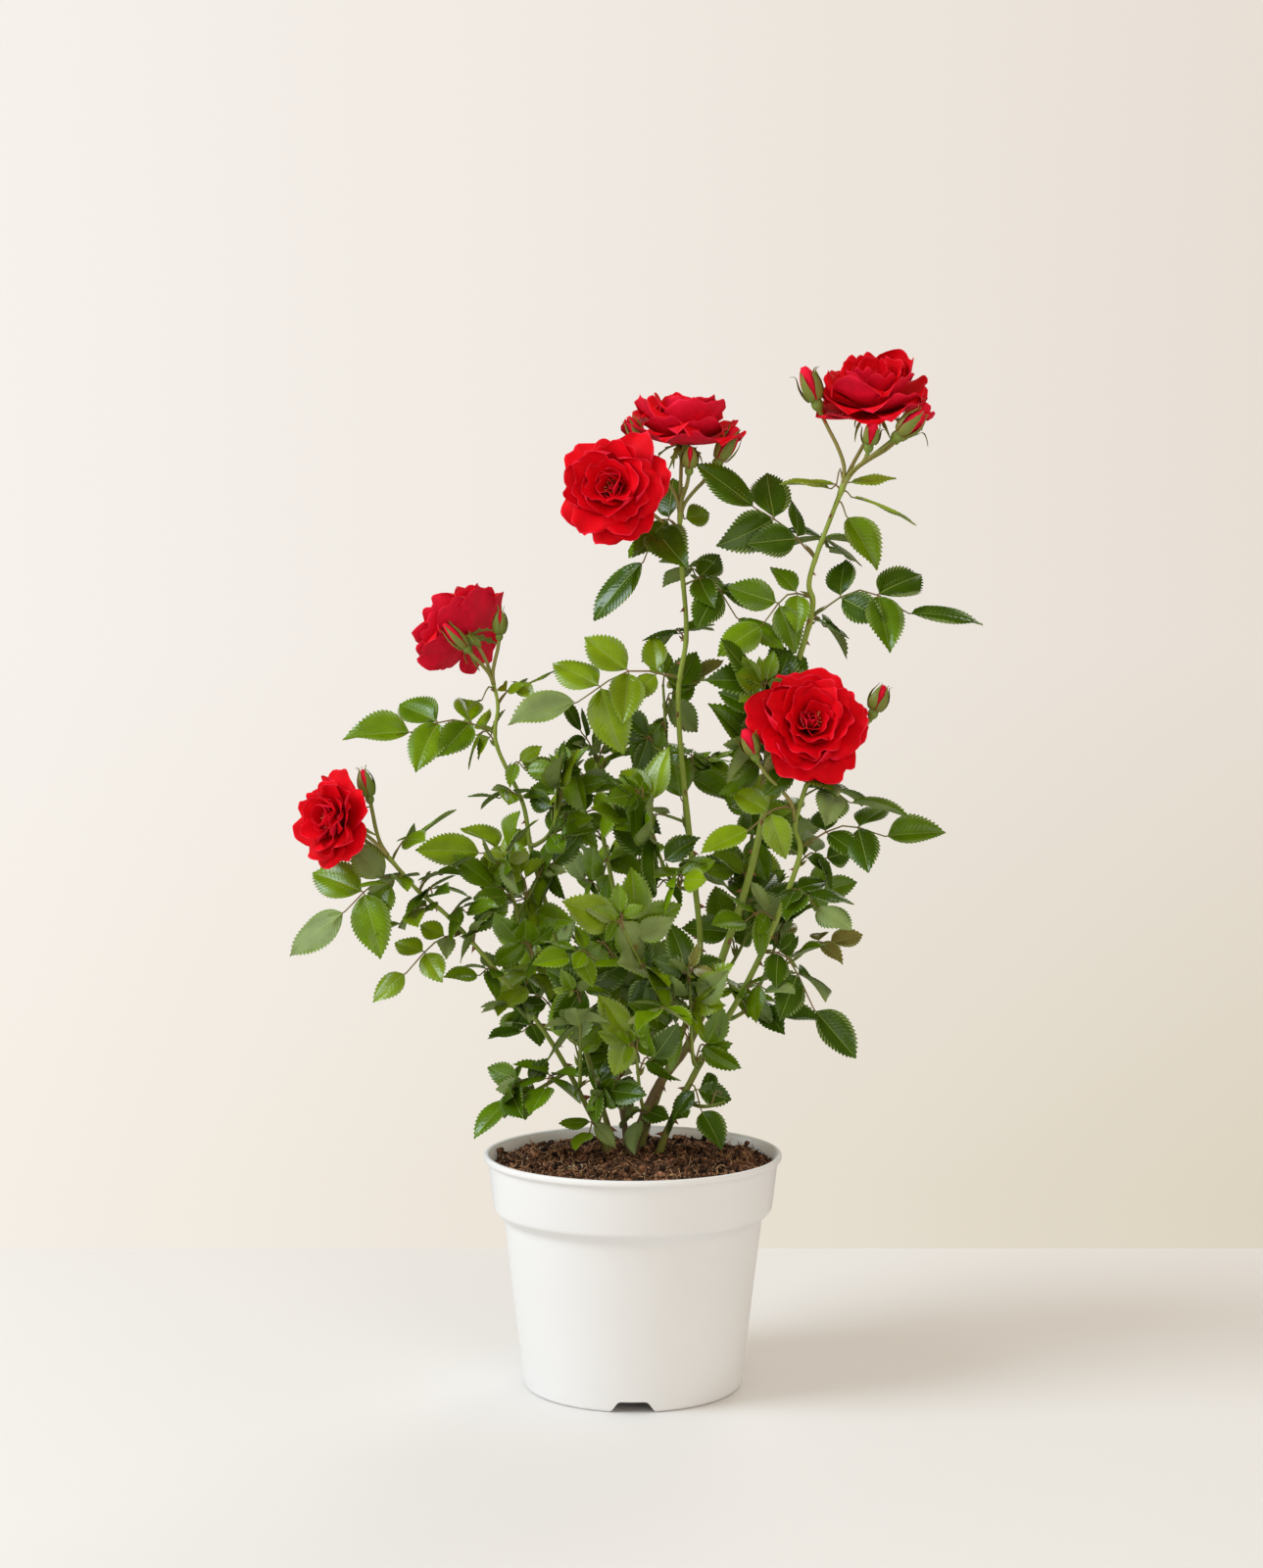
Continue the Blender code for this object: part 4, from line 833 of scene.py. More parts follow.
def add_bloom(twigs, petals, greens, stamens, route, bloom, rng):
    """An open bloom: its stalk, rings of petals over a hip and sepals, and stamens in the middle."""
    facing, radius = Vector(bloom.facing).normalized(), bloom.width / 2 * bloom.grown
    foot = Vector(bloom.centre) - facing * bloom.depth * 0.5
    add_flower_stalk(twigs, route, bloom.height, foot, facing)
    first = upper_side(facing)
    turn = rng.uniform(0, math.tau)
    for k, ring in enumerate(RINGS):
        count = ring.count - (1 if bloom.bowl > 0.8 and k < OUTER_RINGS else 0)
        turn += math.pi / count + rng.uniform(-0.15, 0.15)
        for i in range(count):
            out = Quaternion(facing, turn + math.tau * i / count + rng.uniform(-0.2, 0.2)) @ first
            add_ring_petal(petals, foot, out, facing, radius, k, i, bloom, rng)
    add_hip(greens, foot, facing, HIP_RADIUS)
    for i in range(SEPALS):
        out = Quaternion(facing, turn + math.tau * (i + 0.3) / SEPALS) @ first
        add_sepal(greens, foot - facing * 0.6, out, facing, LONG_SEPAL * rng.uniform(0.85, 1.1),
                  rng.uniform(-25, 0), rng.uniform(-95, -60), i < 3, rng)
    add_stamens(stamens, foot + facing * 3, first, facing, radius * 0.42, rng)


def add_ring_petal(pile, foot, out, facing, radius, k, i, bloom, rng):
    """Petal i of ring k, between a flat bloom's and a bowl's; the first of the inmost ring may be pale."""
    ring, bowl = RINGS[k], bloom.bowl
    rise, lay = (flat + (hollow - flat) * bowl for flat, hollow in zip(ring.flat, ring.bowl))
    taller = 1 + 0.18 * bowl * (k > 1)
    loose = LOOSE * bowl if k == 0 and i % 4 == 0 else 0
    grid = petal_grid(foot + out * (1.4 if k < OUTER_RINGS else 0.8) + facing * k * 0.35, out, facing,
                      radius * ring.length * taller * rng.uniform(0.9, 1.06),
                      radius * ring.width * (1 + 0.12 * bowl) * rng.uniform(0.92, 1.1),
                      rise + rng.uniform(-4, 4),
                      lay - loose + rng.uniform(-12, 10) * (1 - 0.4 * bowl),
                      ring.cup + 0.15 * bowl, ring.roll * rng.uniform(0.5, 1.3), 1 - 0.55 * bowl, rng)
    if k == len(RINGS) - 1 and i < bloom.pale:
        grid = petal_grid(foot + out * 1.5 + facing * 3, out, facing, radius * 0.5, radius * 0.28, 66, 74,
                          0.5, 0.1, 1, rng)
        add_petal(pile, grid, PALE, PALE)
    else:
        add_petal(pile, grid, PETAL["heart" if ring.heart else "face"], PETAL["back"])


def add_hip(pile, foot, facing, radius):
    """The green urn under a flower, that narrows into its stalk."""
    shares = np.array([-3.6, -3.0, -2.2, -1.3, -0.5, 0.1])
    widths = np.array([0.34, 0.42, 0.74, 0.96, 1.0, 0.92])
    points = np.array([foot + facing * float(share * radius * 0.8) for share in shares])
    add_tube(pile, points, widths * radius, 12, HIP)


SEPAL_ROWS, SEPAL_COLUMNS = 13, 5


def add_sepal(pile, foot, out, facing, length, rise, lay, feathered, rng):
    """A narrow sepal with a drawn-out tip; some have thin side lobes like a feather's."""
    v = np.linspace(0, 1, SEPAL_ROWS)[:, None]
    u = np.linspace(-1, 1, SEPAL_COLUMNS)[None, :]
    half = 2.1 * (1 - v)**1.1 * (0.75 + 0.8 * v) + 0.18
    lobes = (np.arange(SEPAL_ROWS) % 3 == 1)[:, None] * (v > 0.2) * (v < 0.8)
    half = half + lobes * (1.5 if feathered else 0.2) * np.abs(u)**3
    along = v + lobes * 0.05 * np.abs(u)**3
    inward = 0.5 * half * u**2 + rng.uniform(-0.4, 0.4) * np.sin(v * 5)
    outward, upward = rolled(length, rise, lay, along, inward)
    x = u * half + rng.uniform(-0.25, 0.25) * length * v**2
    grid = placed(foot, (outward + 1.5, out), (upward, facing), (x, np.cross(out, facing)))
    add_sheet(pile, grid, 0.35, HIP, SEPAL)


STAMENS = 26


def add_stamens(pile, foot, first, facing, height, rng):
    """A tuft of threads, each with its small anther."""
    for _ in range(STAMENS):
        out = Quaternion(facing, rng.uniform(0, math.tau)) @ first
        lean = rng.uniform(0.05, 0.5)
        way = (facing + out * lean).normalized()
        reach = height * rng.uniform(0.7, 1.0)
        tip = foot + way * reach
        add_tube(pile, [foot, foot + way * reach * 0.5 + out * 0.3, tip], [0.18, 0.15, 0.12], 3, STAMEN)
        add_tube(pile, [tip - way * 0.2, tip + way * 0.5, tip + way * 1.2], [0.25, 0.6, 0.25], 4, STAMEN)


BUD_RINGS, BUD_SIDES = 14, 20
LOOSE_PETALS, HALF_OPEN = 5, 0.45  # a bud that is this far open lets go of so many petals


def bud_swell(share, opening):
    """A bud's own outline: its radius at shares of its height."""
    return np.interp(share, (0, 0.12, 0.3, 0.5, 0.7, 0.88, 1),
                     (0.6, 0.8, 0.97, 1, 0.84 + 0.14 * opening, 0.5 + 0.45 * opening, 0.14 + 0.6 * opening))


def add_bud(twigs, petals, greens, route, bud, rng):
    """A bud: stalk, hip, the rolled red petals, and five sepals that let go of them as it opens."""
    foot, radius, opening = Vector(bud.foot), bud.width / 2, bud.opening
    reach = Vector(bud.reach)
    facing = reach.normalized()
    add_flower_stalk(twigs, route, bud.height, foot, facing)
    first = upper_side(facing)
    hip = radius * 0.56
    neck = foot + facing * hip * 1.5
    height = reach.length - hip * 1.5
    urn = [foot + facing * hip * share for share in (-0.9, -0.3, 0.1, 0.5, 0.9, 1.25, 1.6)]
    add_tube(greens, urn, np.array([0.34, 0.44, 0.78, 0.98, 1, 0.94, 0.9]) * hip, 12, HIP)
    share = np.linspace(0, 1, BUD_RINGS)
    angles = np.linspace(0, math.tau, BUD_SIDES, endpoint=False)
    # petals rolled round each other: a step that winds up the bud
    wind = (angles[None, :] / math.tau * 2 + share[:, None] * 0.8) % 1
    radii = radius * 0.88 * bud_swell(share, opening)[:, None] * (1 - 0.16 * wind * share[:, None])
    points = np.array([neck + facing * float(part) * height for part in share])
    add_tube(petals, points, np.maximum(radii, 0.25), BUD_SIDES, PETAL["back"])
    for i in range(LOOSE_PETALS if opening > HALF_OPEN else 0):
        out = Quaternion(facing, math.tau * i / LOOSE_PETALS + rng.uniform(-0.2, 0.2)) @ first
        grid = petal_grid(neck + out * radius * 0.25 + facing * height * 0.22, out, facing, height * 0.85,
                          radius * 1.4, 84 - 26 * opening, 98 - 42 * opening, 0.5, 0.3, 0.5, rng)
        add_petal(petals, grid, PETAL["face"], PETAL["back"])
    for i in range(SEPALS):
        out = Quaternion(facing, math.tau * (i + 0.5) / SEPALS) @ first
        add_bud_sepal(greens, neck, out, facing, height, radius, opening, i < 3, rng)


BUD_SEPAL_REACH = (1.42, -1.05)  # of the bud's height, closed, and its change as the bud opens


def add_bud_sepal(pile, neck, out, facing, height, radius, opening, feathered, rng):
    """A sepal that wraps the bud's side, lets the petals show as it narrows, and ends in a thin loose tip."""
    rows, columns = 17, 5
    v = np.linspace(0, 1, rows)[:, None]
    u = np.linspace(-1, 1, columns)[None, :]
    up = v * height * (BUD_SEPAL_REACH[0] + BUD_SEPAL_REACH[1] * opening)
    free = np.clip((v - 0.72 + 0.5 * opening) / (0.28 + 0.5 * opening), 0, 1)
    up = up - free**2 * height * 0.8 * opening
    away = radius * bud_swell(np.minimum(up / height, 1), opening) + 0.4
    away = away + free**2 * radius * (rng.uniform(-0.1, 0.45) + 1.4 * opening) + opening
    whole = 0.36 - 0.7 * opening  # share of the sepal that keeps its full width
    wide = 0.63 - 0.45 * opening
    angle = u * (wide * np.clip((1.03 - v) / (1.03 - whole), 0, 1)**1.35 + 0.02)
    lobes = (np.arange(rows) % 4 == 2)[:, None] * (v > 0.4) * (v < 0.85)
    aside = lobes * (0.6 if feathered else 0.1) * np.abs(u)**3 * np.sign(u) + rng.uniform(-1, 1) * free
    x = away * np.sin(angle) + aside
    grid = placed(neck, (away * np.cos(angle), out), (up, facing), (x, np.cross(out, facing)))
    add_sheet(pile, grid, 0.3, SEPAL, SEPAL)


# ==== Stems, stalks, stipules, thorns ====

RING_STEP, CANE_SIDES = 1.7, 18
UNDER_SOIL = 9
NODE_SWELL, NODE_REACH = 0.13, 2.2
SLIMMER = 0.2  # a cane's tip is this much slimmer again
OLD_FLARE, OLD_REACH = 2.2, 45  # the flare of a gnarled foot, and how far up its bark stays knobby


def cane_heights(cane):
    """Heights at which something grows from a cane."""
    heights = [height for height, *_ in SPRAY_LEAVES[cane.name]]
    heights += [shoot.height for shoot in SHOOTS if shoot.cane == cane.name]
    heights += [bud.height for bud in SPRAY_BUDS[cane.name]]
    return heights + [bloom.height for bloom in SPRAY_BLOOMS[cane.name]]


def dress_cane(cane, bark):
    """A cane with its bark: swollen where leaves and shoots grow, streaked, and knobby at an old foot."""
    route = cane_route(cane)
    reach = sum((b - a).length for a, b in zip(route.points, route.points[1:]))
    shares = np.linspace(0, 1, int(reach / RING_STEP))
    points = np.array(route.along(shares))
    radii = np.array([bark_radius(cane, float(share)) for share in shares])
    radii *= (1 - SLIMMER * shares) * (4.0 / (4.0 + 0.22 * cane.flare))
    for height in cane_heights(cane):
        radii *= 1 + NODE_SWELL * np.exp(-((points[:, 2] - height) / NODE_REACH)**2)
    below = points[0] - np.array([0, 0, UNDER_SOIL])
    points, radii = np.vstack([below, points]), np.append(radii[0] * 1.1, radii)
    radii[-2:] *= 0.8, 0.5
    skin = points[:, None] + radii[:, None, None] * round_line(points, CANE_SIDES)
    old = cane.flare / OLD_FLARE * np.exp(-(points[:, 2] - SOIL_TOP) / OLD_REACH)[:, None]
    relief = 0.02 + 0.1 * np.clip(old, 0, 1)
    seed = len(cane.name)
    rough = ripple(skin * (1, 1, 0.25), 2.4, seed) * relief * 0.8 + ripple(skin, 9, seed + 1) * relief
    pile = Pile(bark)
    add_tube(pile, points, radii[:, None] * (1 + rough), CANE_SIDES, bark)
    return pile.made("bark_" + cane.name, "cane", replaced=(cane.name,))


def add_stem(pile, points, radii, sides, paint, rough=0.03):
    """A green stem with a slight unevenness."""
    points = np.array([list(p) for p in points])
    wander = 1 + ripple(points, 9, 3)[:, None] * rough
    add_tube(pile, points, np.asarray(radii)[:, None] * wander * np.ones((1, sides)), sides, paint)


def add_flower_stalk(twigs, route, height, foot, way):
    """A stalk that leaves its cane at a height and runs into a flower's foot."""
    share = route.share_at(height)
    line = Route(bend(route.at(share), route.direction(share), foot, way))
    shares = np.linspace(0, 1, 12)
    add_stem(twigs, line.along(shares), FLOWER_STALK_RADIUS * (1 + 0.25 * np.exp(-shares * 12)), 8, STALK)


STIPULE_LEAST, STIPULE_MOST = 12, 9.0  # the shortest stalk with stipules, and their longest reach


def add_stipules(pile, stalk, face, length):
    """The pair of narrow wings at the foot of a leaf stalk, free at their tips."""
    count = 7
    reach = min(STIPULE_MOST, length * 0.25)
    shares = np.linspace(0.01, reach / length, count)
    middle = np.array(stalk.along(shares))
    along = stalk.direction(0.05)
    v = np.linspace(0, 1, count)[:, None]
    for hand in (-1, 1):
        u = np.array([[0.0, 0.5, 1.0]])[:, ::hand]
        wide = 1.9 * np.sin(np.pi * np.clip(v * 0.9 + 0.08, 0, 1)) + 0.1
        offset = hand * (0.35 + u * wide + 1.6 * v**4)
        grid = placed(middle[:, None], (offset, np.cross(along, face)), (0.5 * u * wide, face),
                      (1.8 * v**3 * u, along))
        add_sheet(pile, grid, 0.25, SEPAL, SEPAL)


THORN_SIDES, THORN_PITCH = 8, 17
THORNS_FROM, THORNS_TO = 10, 18  # above the soil, and below a cane's top


def add_thorn(pile, foot, out, down, height, base):
    """A hooked thorn: a long oval foot that curves down to a point."""
    shares = (0, 0.12, 0.35, 0.6, 0.82, 1.0)
    out, down = np.array(out), np.array(down)
    side = np.cross(out, down)
    angles, rings = turns_of(THORN_SIDES), []
    for share in shares:
        centre = np.array(foot) + out * (share * height - 0.5) + down * height * 0.45 * share**2
        long, thin = base * (1 - share)**1.2 + 0.04, base * 0.36 * (1 - share) + 0.04
        rings.append(centre + np.cos(angles)[:, None] * down * long + np.sin(angles)[:, None] * side * thin)
    count = len(shares)
    numbers = np.arange(count * THORN_SIDES).reshape(count, THORN_SIDES)
    ends = np.array([numbers[0], numbers[-1][::-1]])
    pile.add(np.concatenate(rings), (ring_walls(numbers), THORN), (ends, THORN))


def dress_thorns():
    """Thorns on all the canes, at uneven heights and all round."""
    pile = Pile(THORN)
    for cane in CANES:
        route, rng = cane_route(cane), random.Random("thorns " + cane.name)
        height = SOIL_TOP + THORNS_FROM + rng.uniform(0, 8)
        while height < route.points[-1].z - THORNS_TO:
            share = route.share_at(height)
            way = route.direction(share)
            out = spoke(way, rng.uniform(0, math.tau))
            foot = route.at(share) + out * (bark_radius(cane, share) - 0.3)
            size = rng.uniform(3.0, 6.0) * (1.1 - 0.4 * share)
            add_thorn(pile, foot, out, -way, size, size * 0.42)
            height += THORN_PITCH * rng.uniform(0.5, 1.5)
    return pile.made("thorns", "cane")


# ==== Leaves: those of the plan, and those of finer twigs ====

POT_HEIGHT, LIP_RADIUS = 149, 95.5
BLOOM_ROOM = 0.42  # share of a bloom's width that no leaflet's middle comes into
BLOOM_SIGHT = 0.56  # share of its width round it that leaflets in front of it stay out of
TONES = ("deep", "dark", "mid", "bright")
TONE_STEPS = (-0.5, 0.1, 0.85)  # how well lit a leaf stands, between one tone and the next
TONE_SPREAD = 0.76
LIGHTER, TURNED_OVER = 0.16, 0.92  # a leaflet's draw: below, it is a tone lighter; above, pale side up
BUSH_HEART = Vector((0, BUSH_MIDDLE, 340))
BUSH_REACH, BUSH_FOOT, BUSH_TOP = 170, 225, 430
ALL_BLOOMS = [bloom for blooms in SPRAY_BLOOMS.values() for bloom in blooms]


def in_a_bloom(place):
    """Whether something here would stand among a bloom's petals."""
    return any((place - Vector(bloom.centre)).length < bloom.width * BLOOM_ROOM for bloom in ALL_BLOOMS)


def in_the_pot(place):
    """Whether something here would cut the pot or lie under its lip."""
    return place.z < POT_HEIGHT + 2 and place.xy.length < LIP_RADIUS + 2


# where the bush is open, in the plane through the pot's middle as the camera sees it: x, z, radius
OPEN_SKY = (
    (3, 446, 16), (-94, 190, 13), (72, 190, 14), (125, 345, 12), (30, 420, 8), (-20, 410, 8),
    (55, 280, 9), (90, 266, 13), (104, 222, 13), (-14, 392, 7), (20, 368, 7), (-52, 214, 7), (-18, 330, 6),
    (7, 188, 9), (101, 250, 9), (62, 268, 8), (-30, 296, 6),
)
CAMERA_FAR, CAMERA_HIGH = 1520, 440
CORE = Vector((12, 24))  # the bush's axis, where its inner twigs are barer
CORE_RADIUS, CORE_BARE = 62, 0.3


def as_seen(place):
    """Where a place shows in the plane through the pot's middle, to the camera."""
    scale = 1 + place.y / CAMERA_FAR
    return Vector((place.x / scale, CAMERA_HIGH + (place.z - CAMERA_HIGH) / scale))


def in_open_sky(place):
    x, z = as_seen(place)
    return any(math.hypot(x - gap_x, z - gap_z) < radius for gap_x, gap_z, radius in OPEN_SKY)


def hides_a_bloom(place):
    """Whether something here would stand before a bloom in the photograph."""
    seen = as_seen(place)
    return any(place.y < bloom.centre[1]
               and (seen - as_seen(Vector(bloom.centre))).length < bloom.width * BLOOM_SIGHT
               for bloom in ALL_BLOOMS)


def bare(place, rng):
    """Whether a leaflet is missing: some of those in the bush's core are."""
    return (place.xy - CORE).length < CORE_RADIUS and rng.random() < CORE_BARE


def lit_tone_of(place, rng):
    """Painted light and shade: leaves are painted lighter towards the back and the left, and darker at the
    top and near the soil.
    """
    out = (place - BUSH_HEART) / BUSH_REACH
    by_height = -0.95 if place.z < BUSH_FOOT else 0.06 if place.z < BUSH_TOP else -0.8
    lit = 0.6 * out.y - 0.4 * out.x + rng.gauss(0, TONE_SPREAD) + by_height
    return TONES[sum(lit >= step for step in TONE_STEPS)]


def add_leaf(leaves, twigs, base, reach, pairs, size, arch, slim, rng, young=False, airy=True):
    """One whole leaf: stalk, stipules and leaflets, in one tone with a little play.

    An airy leaf is left out, or loses some of its leaflets, where the bush is open.
    """
    stalk, leaflets = leaf_plan(base, reach, pairs, size, arch, slim, rng)
    tip = base + Vector(reach)
    if in_the_pot(tip) or in_the_pot(stalk.at(0.6)) or airy and in_open_sky(stalk.at(0.8)):
        return
    tone = rng.choice(("young", "mid", "bronze", "mid")) if young else lit_tone_of(tip, rng)
    under = UNDER["young" if young else "old"]
    length = (stalk.at(1) - stalk.at(0)).length
    shares = (0, 0.03, 0.12, 0.3, 0.5, 0.7, 0.86, 1.0)
    radii = [LEAF_STALK_RADIUS * (1 - 0.35 * share) + 0.6 * math.exp(-share * 30) for share in shares]
    add_stem(twigs, stalk.along(shares), radii, 5, LEAF_STALK)
    if length > STIPULE_LEAST:
        add_stipules(twigs, stalk, leaflets[0].face, length)
    for leaflet in leaflets:
        middle = leaflet.root + leaflet.along * leaflet.length * 0.55
        end = leaflet.root + leaflet.along * leaflet.length
        if in_a_bloom(middle) or hides_a_bloom(middle) or in_the_pot(middle) or in_the_pot(end):
            continue
        if airy and (in_open_sky(middle) or bare(middle, rng)):
            continue
        play = 0.5 if young else rng.random()
        upper, lower = LEAF[tone], under
        if play < LIGHTER:
            upper = LEAF[TONES[min(TONES.index(tone) + 1, len(TONES) - 1)]]
        elif play > TURNED_OVER:
            upper, lower = under, upper
        foot = [leaflet.root + leaflet.along * step for step in (0, 1.2, 2.4)]
        add_stem(twigs, foot, (0.5, 0.42, 0.36), 4, LEAF_STALK)
        add_leaflet(leaves, leaflet, upper, lower, rng)


SIDE_TWIG_PLACES = (0.42, 0.74)
SIDE_TWIG_REACH = 0.42  # of the shoot's own reach
SIDE_TWIG_LEAVES, SIDE_TWIG_YOUNG = 2, 0.3  # the last of them is a young one on this share of the twigs
SIDE_TWIGS_FROM = 210  # the lowest shoots have none


def grow_side_twig(leaves, twigs, shoot, route, place, hand, rng):
    """A finer twig on a shoot, with leaves that are smaller than the shoot's by the same rule."""
    forward, start = route.direction(place), route.at(place)
    turn = Quaternion(forward, hand * 2.2 + rng.uniform(-0.5, 0.5))
    out = turn @ upper_side(forward) + forward * 0.7 + UP * 0.3
    out.normalize()
    reach = Vector(shoot.reach).length * SIDE_TWIG_REACH * rng.uniform(0.8, 1.1)
    tip = start + out * reach
    twig = Route(bend(start, out, tip, (out + UP * 0.6).normalized()))
    shares = np.linspace(0, 1, 8)
    add_stem(twigs, twig.along(shares), 1.15 - 0.4 * shares, 6, GREEN_STEM)
    first = rng.uniform(0, math.tau)
    for i in range(SIDE_TWIG_LEAVES):
        share = 0.45 + 0.55 * i / (SIDE_TWIG_LEAVES - 1)
        way = twig.direction(share)
        out = spoke(way, first + i * PHYLLOTAXIS)
        leaf_way = (out + way * (0.7 + 0.8 * share) + LIGHT * 0.15).normalized()
        size = shoot.size * rng.uniform(0.75, 0.98)
        young = i == SIDE_TWIG_LEAVES - 1 and rng.random() < SIDE_TWIG_YOUNG
        add_leaf(leaves, twigs, twig.at(share), leaf_way * shoot.length * rng.uniform(0.6, 0.78),
                 rng.choice((1, 2, 2)), size, 4, 1.0, rng, young)


def dress_shoot(shoot, leaves, twigs):
    """A leafy side shoot, rooted in its cane's middle, with side twigs and two small leaves at its tip."""
    route, cane = shoot_route(shoot), cane_route(cane_of(shoot))
    shares = np.linspace(0, 1, 16)
    points = [cane.at(cane.share_at(shoot.height)), *route.along(shares)]
    radii = np.append(SHOOT_RADIUS * 1.35, SHOOT_RADIUS * (1 - 0.45 * shares))
    add_stem(twigs, points, radii, 8, GREEN_STEM)
    rng = random.Random(shoot.name)
    for base, reach in shoot_leaves(shoot, route, rng):
        size = shoot.size * rng.uniform(1.02, 1.28)
        add_leaf(leaves, twigs, base, reach, 2, size, SHOOT_ARCH, 1.0, rng)
    for hand, place in zip((-1, 1), SIDE_TWIG_PLACES if shoot.height > SIDE_TWIGS_FROM else ()):
        grow_side_twig(leaves, twigs, shoot, route, place, hand, rng)
    tip, way = route.at(1), route.direction(1)
    for i in range(2):
        reach = (way + spoke(way, i * 2.5 + 1) * 0.5) * shoot.length * 0.42
        add_leaf(leaves, twigs, tip, reach, 1, shoot.size * 0.62, 3, 0.9, rng, i == 0)


def dress_spray(cane, leaves, twigs, petals, greens, stamens):
    """All that the plan and its finer leaves have on one cane's top."""
    route, rng = cane_route(cane), random.Random(cane.name)
    for row in SPRAY_LEAVES[cane.name] + FINER_LEAVES.get(cane.name, ()):
        leaf = Leaf(*row)
        base = route.at(route.share_at(leaf.height))
        add_leaf(leaves, twigs, base, leaf.reach, leaf.pairs, leaf.size, leaf.arch, leaf.slim, rng,
                 leaf.pairs == 0, airy=False)
    for bloom in SPRAY_BLOOMS[cane.name]:
        add_bloom(twigs, petals, greens, stamens, route, bloom, rng)
    for bud in SPRAY_BUDS[cane.name]:
        add_bud(twigs, petals, greens, route, bud, rng)


# ==== Pot and soil ====

TURN_STEPS = 160


def rounded(radius, height, centre, turns):
    """Points round a quarter turn: centre is (radius, height), turns are in degrees."""
    return [(centre[0] + radius * math.cos(math.radians(a)), centre[1] + height * math.sin(math.radians(a)))
            for a in turns]


POT_PROFILE = [
    (0.01, 6), (66, 6), (68.2, 7), (69, 10), (80.4, 104), (81.6, 108), (86.4, 112.5), (87, 116), (88.6, 133),
    (90.8, 144.5), (91.9, 147.6), *rounded(1.7, 1.4, (93.8, 147.6), (150, 120, 90, 60, 30, 0)),
    (95.5, 146.4), (95.4, 145.7), (95.0, 145.1), (94.2, 144.6), (93.5, 144.0), (93.0, 143.2), (92.7, 142.0),
    (92.5, 140), (89.5, 115.6), (89.2, 114.0), (88.5, 113.0), (87.5, 112.0), (84.2, 108.8), (83.3, 107.6),
    (82.8, 106.2), (82.5, 104.0), *rounded(2.4, 2.4, (67.7, 2.4), (0, -22, -45, -67, -90)), (62, 0),
    (60.8, 1.4), (0.01, 1.4),
]
INSIDE_ROWS = 10  # of the profile, up to the lip
NOTCHES, NOTCH_FOOT_WIDTH, NOTCH_TOP_WIDTH, NOTCH_HEIGHT = 3, 28, 17, 7
POT_EDGE = math.radians(35)  # the wall is shaded smooth up to this turn


def dress_pot(material, inside):
    """The pot turned on its axis, with tapered notches at the foot of its wall."""
    profile = np.array(POT_PROFILE)
    angles = turns_of(TURN_STEPS)
    ring = np.stack([np.cos(angles), np.sin(angles)], axis=1)
    points = np.concatenate([np.concatenate([ring * radius, np.full((TURN_STEPS, 1), height)], axis=1)
                             for radius, height in profile])
    numbers = np.arange(len(points)).reshape(len(profile), TURN_STEPS)
    walls = ring_walls(numbers)
    pile, outer = Pile(material, inside), INSIDE_ROWS * TURN_STEPS
    pile.add(points, (walls[outer:], material), (walls[:outer], inside), (numbers[:1], inside),
             (numbers[-1:, ::-1], material))
    pot = pile.made("nursery_pot", "pot", replaced=("pot",))
    cutters = [notch_cutter(math.tau * k / NOTCHES) for k in range(NOTCHES)]
    for cutter in cutters:
        cut = pot.modifiers.new("notch", "BOOLEAN")
        cut.object, cut.solver = cutter, "EXACT"
    graph = bpy.context.evaluated_depsgraph_get()
    pot.data = bpy.data.meshes.new_from_object(pot.evaluated_get(graph))
    pot.modifiers.clear()
    for cutter in cutters:
        bpy.data.objects.remove(cutter, do_unlink=True)
    pot.data.shade_smooth()
    pot.data.set_sharp_from_angle(angle=POT_EDGE)
    return pot


def notch_cutter(turn):
    """A long prism with a rounded trapezoid section, that cuts one notch and its channel."""
    half, top, high = NOTCH_FOOT_WIDTH / 2, NOTCH_TOP_WIDTH / 2, NOTCH_HEIGHT
    left = [(-half - 1.6, -3), (-half - 1.2, -0.5), (-half + 0.6, 1.0), (-top - 1.5, high - 1.4),
            (-top - 0.5, high - 0.4), (-top + 1, high)]
    outline = left + [(-x, z) for x, z in left[::-1]]
    points = [(x * MM, y * MM, z * MM) for y in (-100, -44) for x, z in outline]
    count = len(outline)
    faces = [(i, (i + 1) % count, count + (i + 1) % count, count + i) for i in range(count)]
    faces += [tuple(range(count))[::-1], tuple(range(count, 2 * count))]
    mesh = bpy.data.meshes.new("notch")
    mesh.from_pydata(points, [], faces)
    bm = bmesh.new()
    bm.from_mesh(mesh)
    bmesh.ops.recalc_face_normals(bm, faces=bm.faces)
    bm.to_mesh(mesh)
    bm.free()
    cutter = linked("notch_cutter", mesh)
    cutter.rotation_euler.z = turn
    return cutter


SOIL_RINGS, SOIL_STEPS, SOIL_REACH = 60, 150, 89.6
SOIL_FOOT = 120  # the soil is drawn down to here
CRUMBS, FIBRES, SPECKS, TUFTS = 2500, 1350, 34, 320
THREAD_POINTS = 6


def soil_height(x, y):
    """The soil's own height at a place: a low mound with a lumpy surface."""
    x, y = np.asarray(x, float), np.asarray(y, float)
    out = np.clip(np.hypot(x, y) / SOIL_REACH, 0, 1)
    flat = np.stack([x, y, np.zeros_like(x)], axis=-1)
    mound = SOIL_TOP - 0.8 - (SOIL_TOP - SOIL_EDGE) * out**2.2
    return mound + 1.7 * ripple(flat, 21, 5) + 2.1 * ripple(flat, 10, 6) + 1.3 * ripple(flat, 3.4, 7)


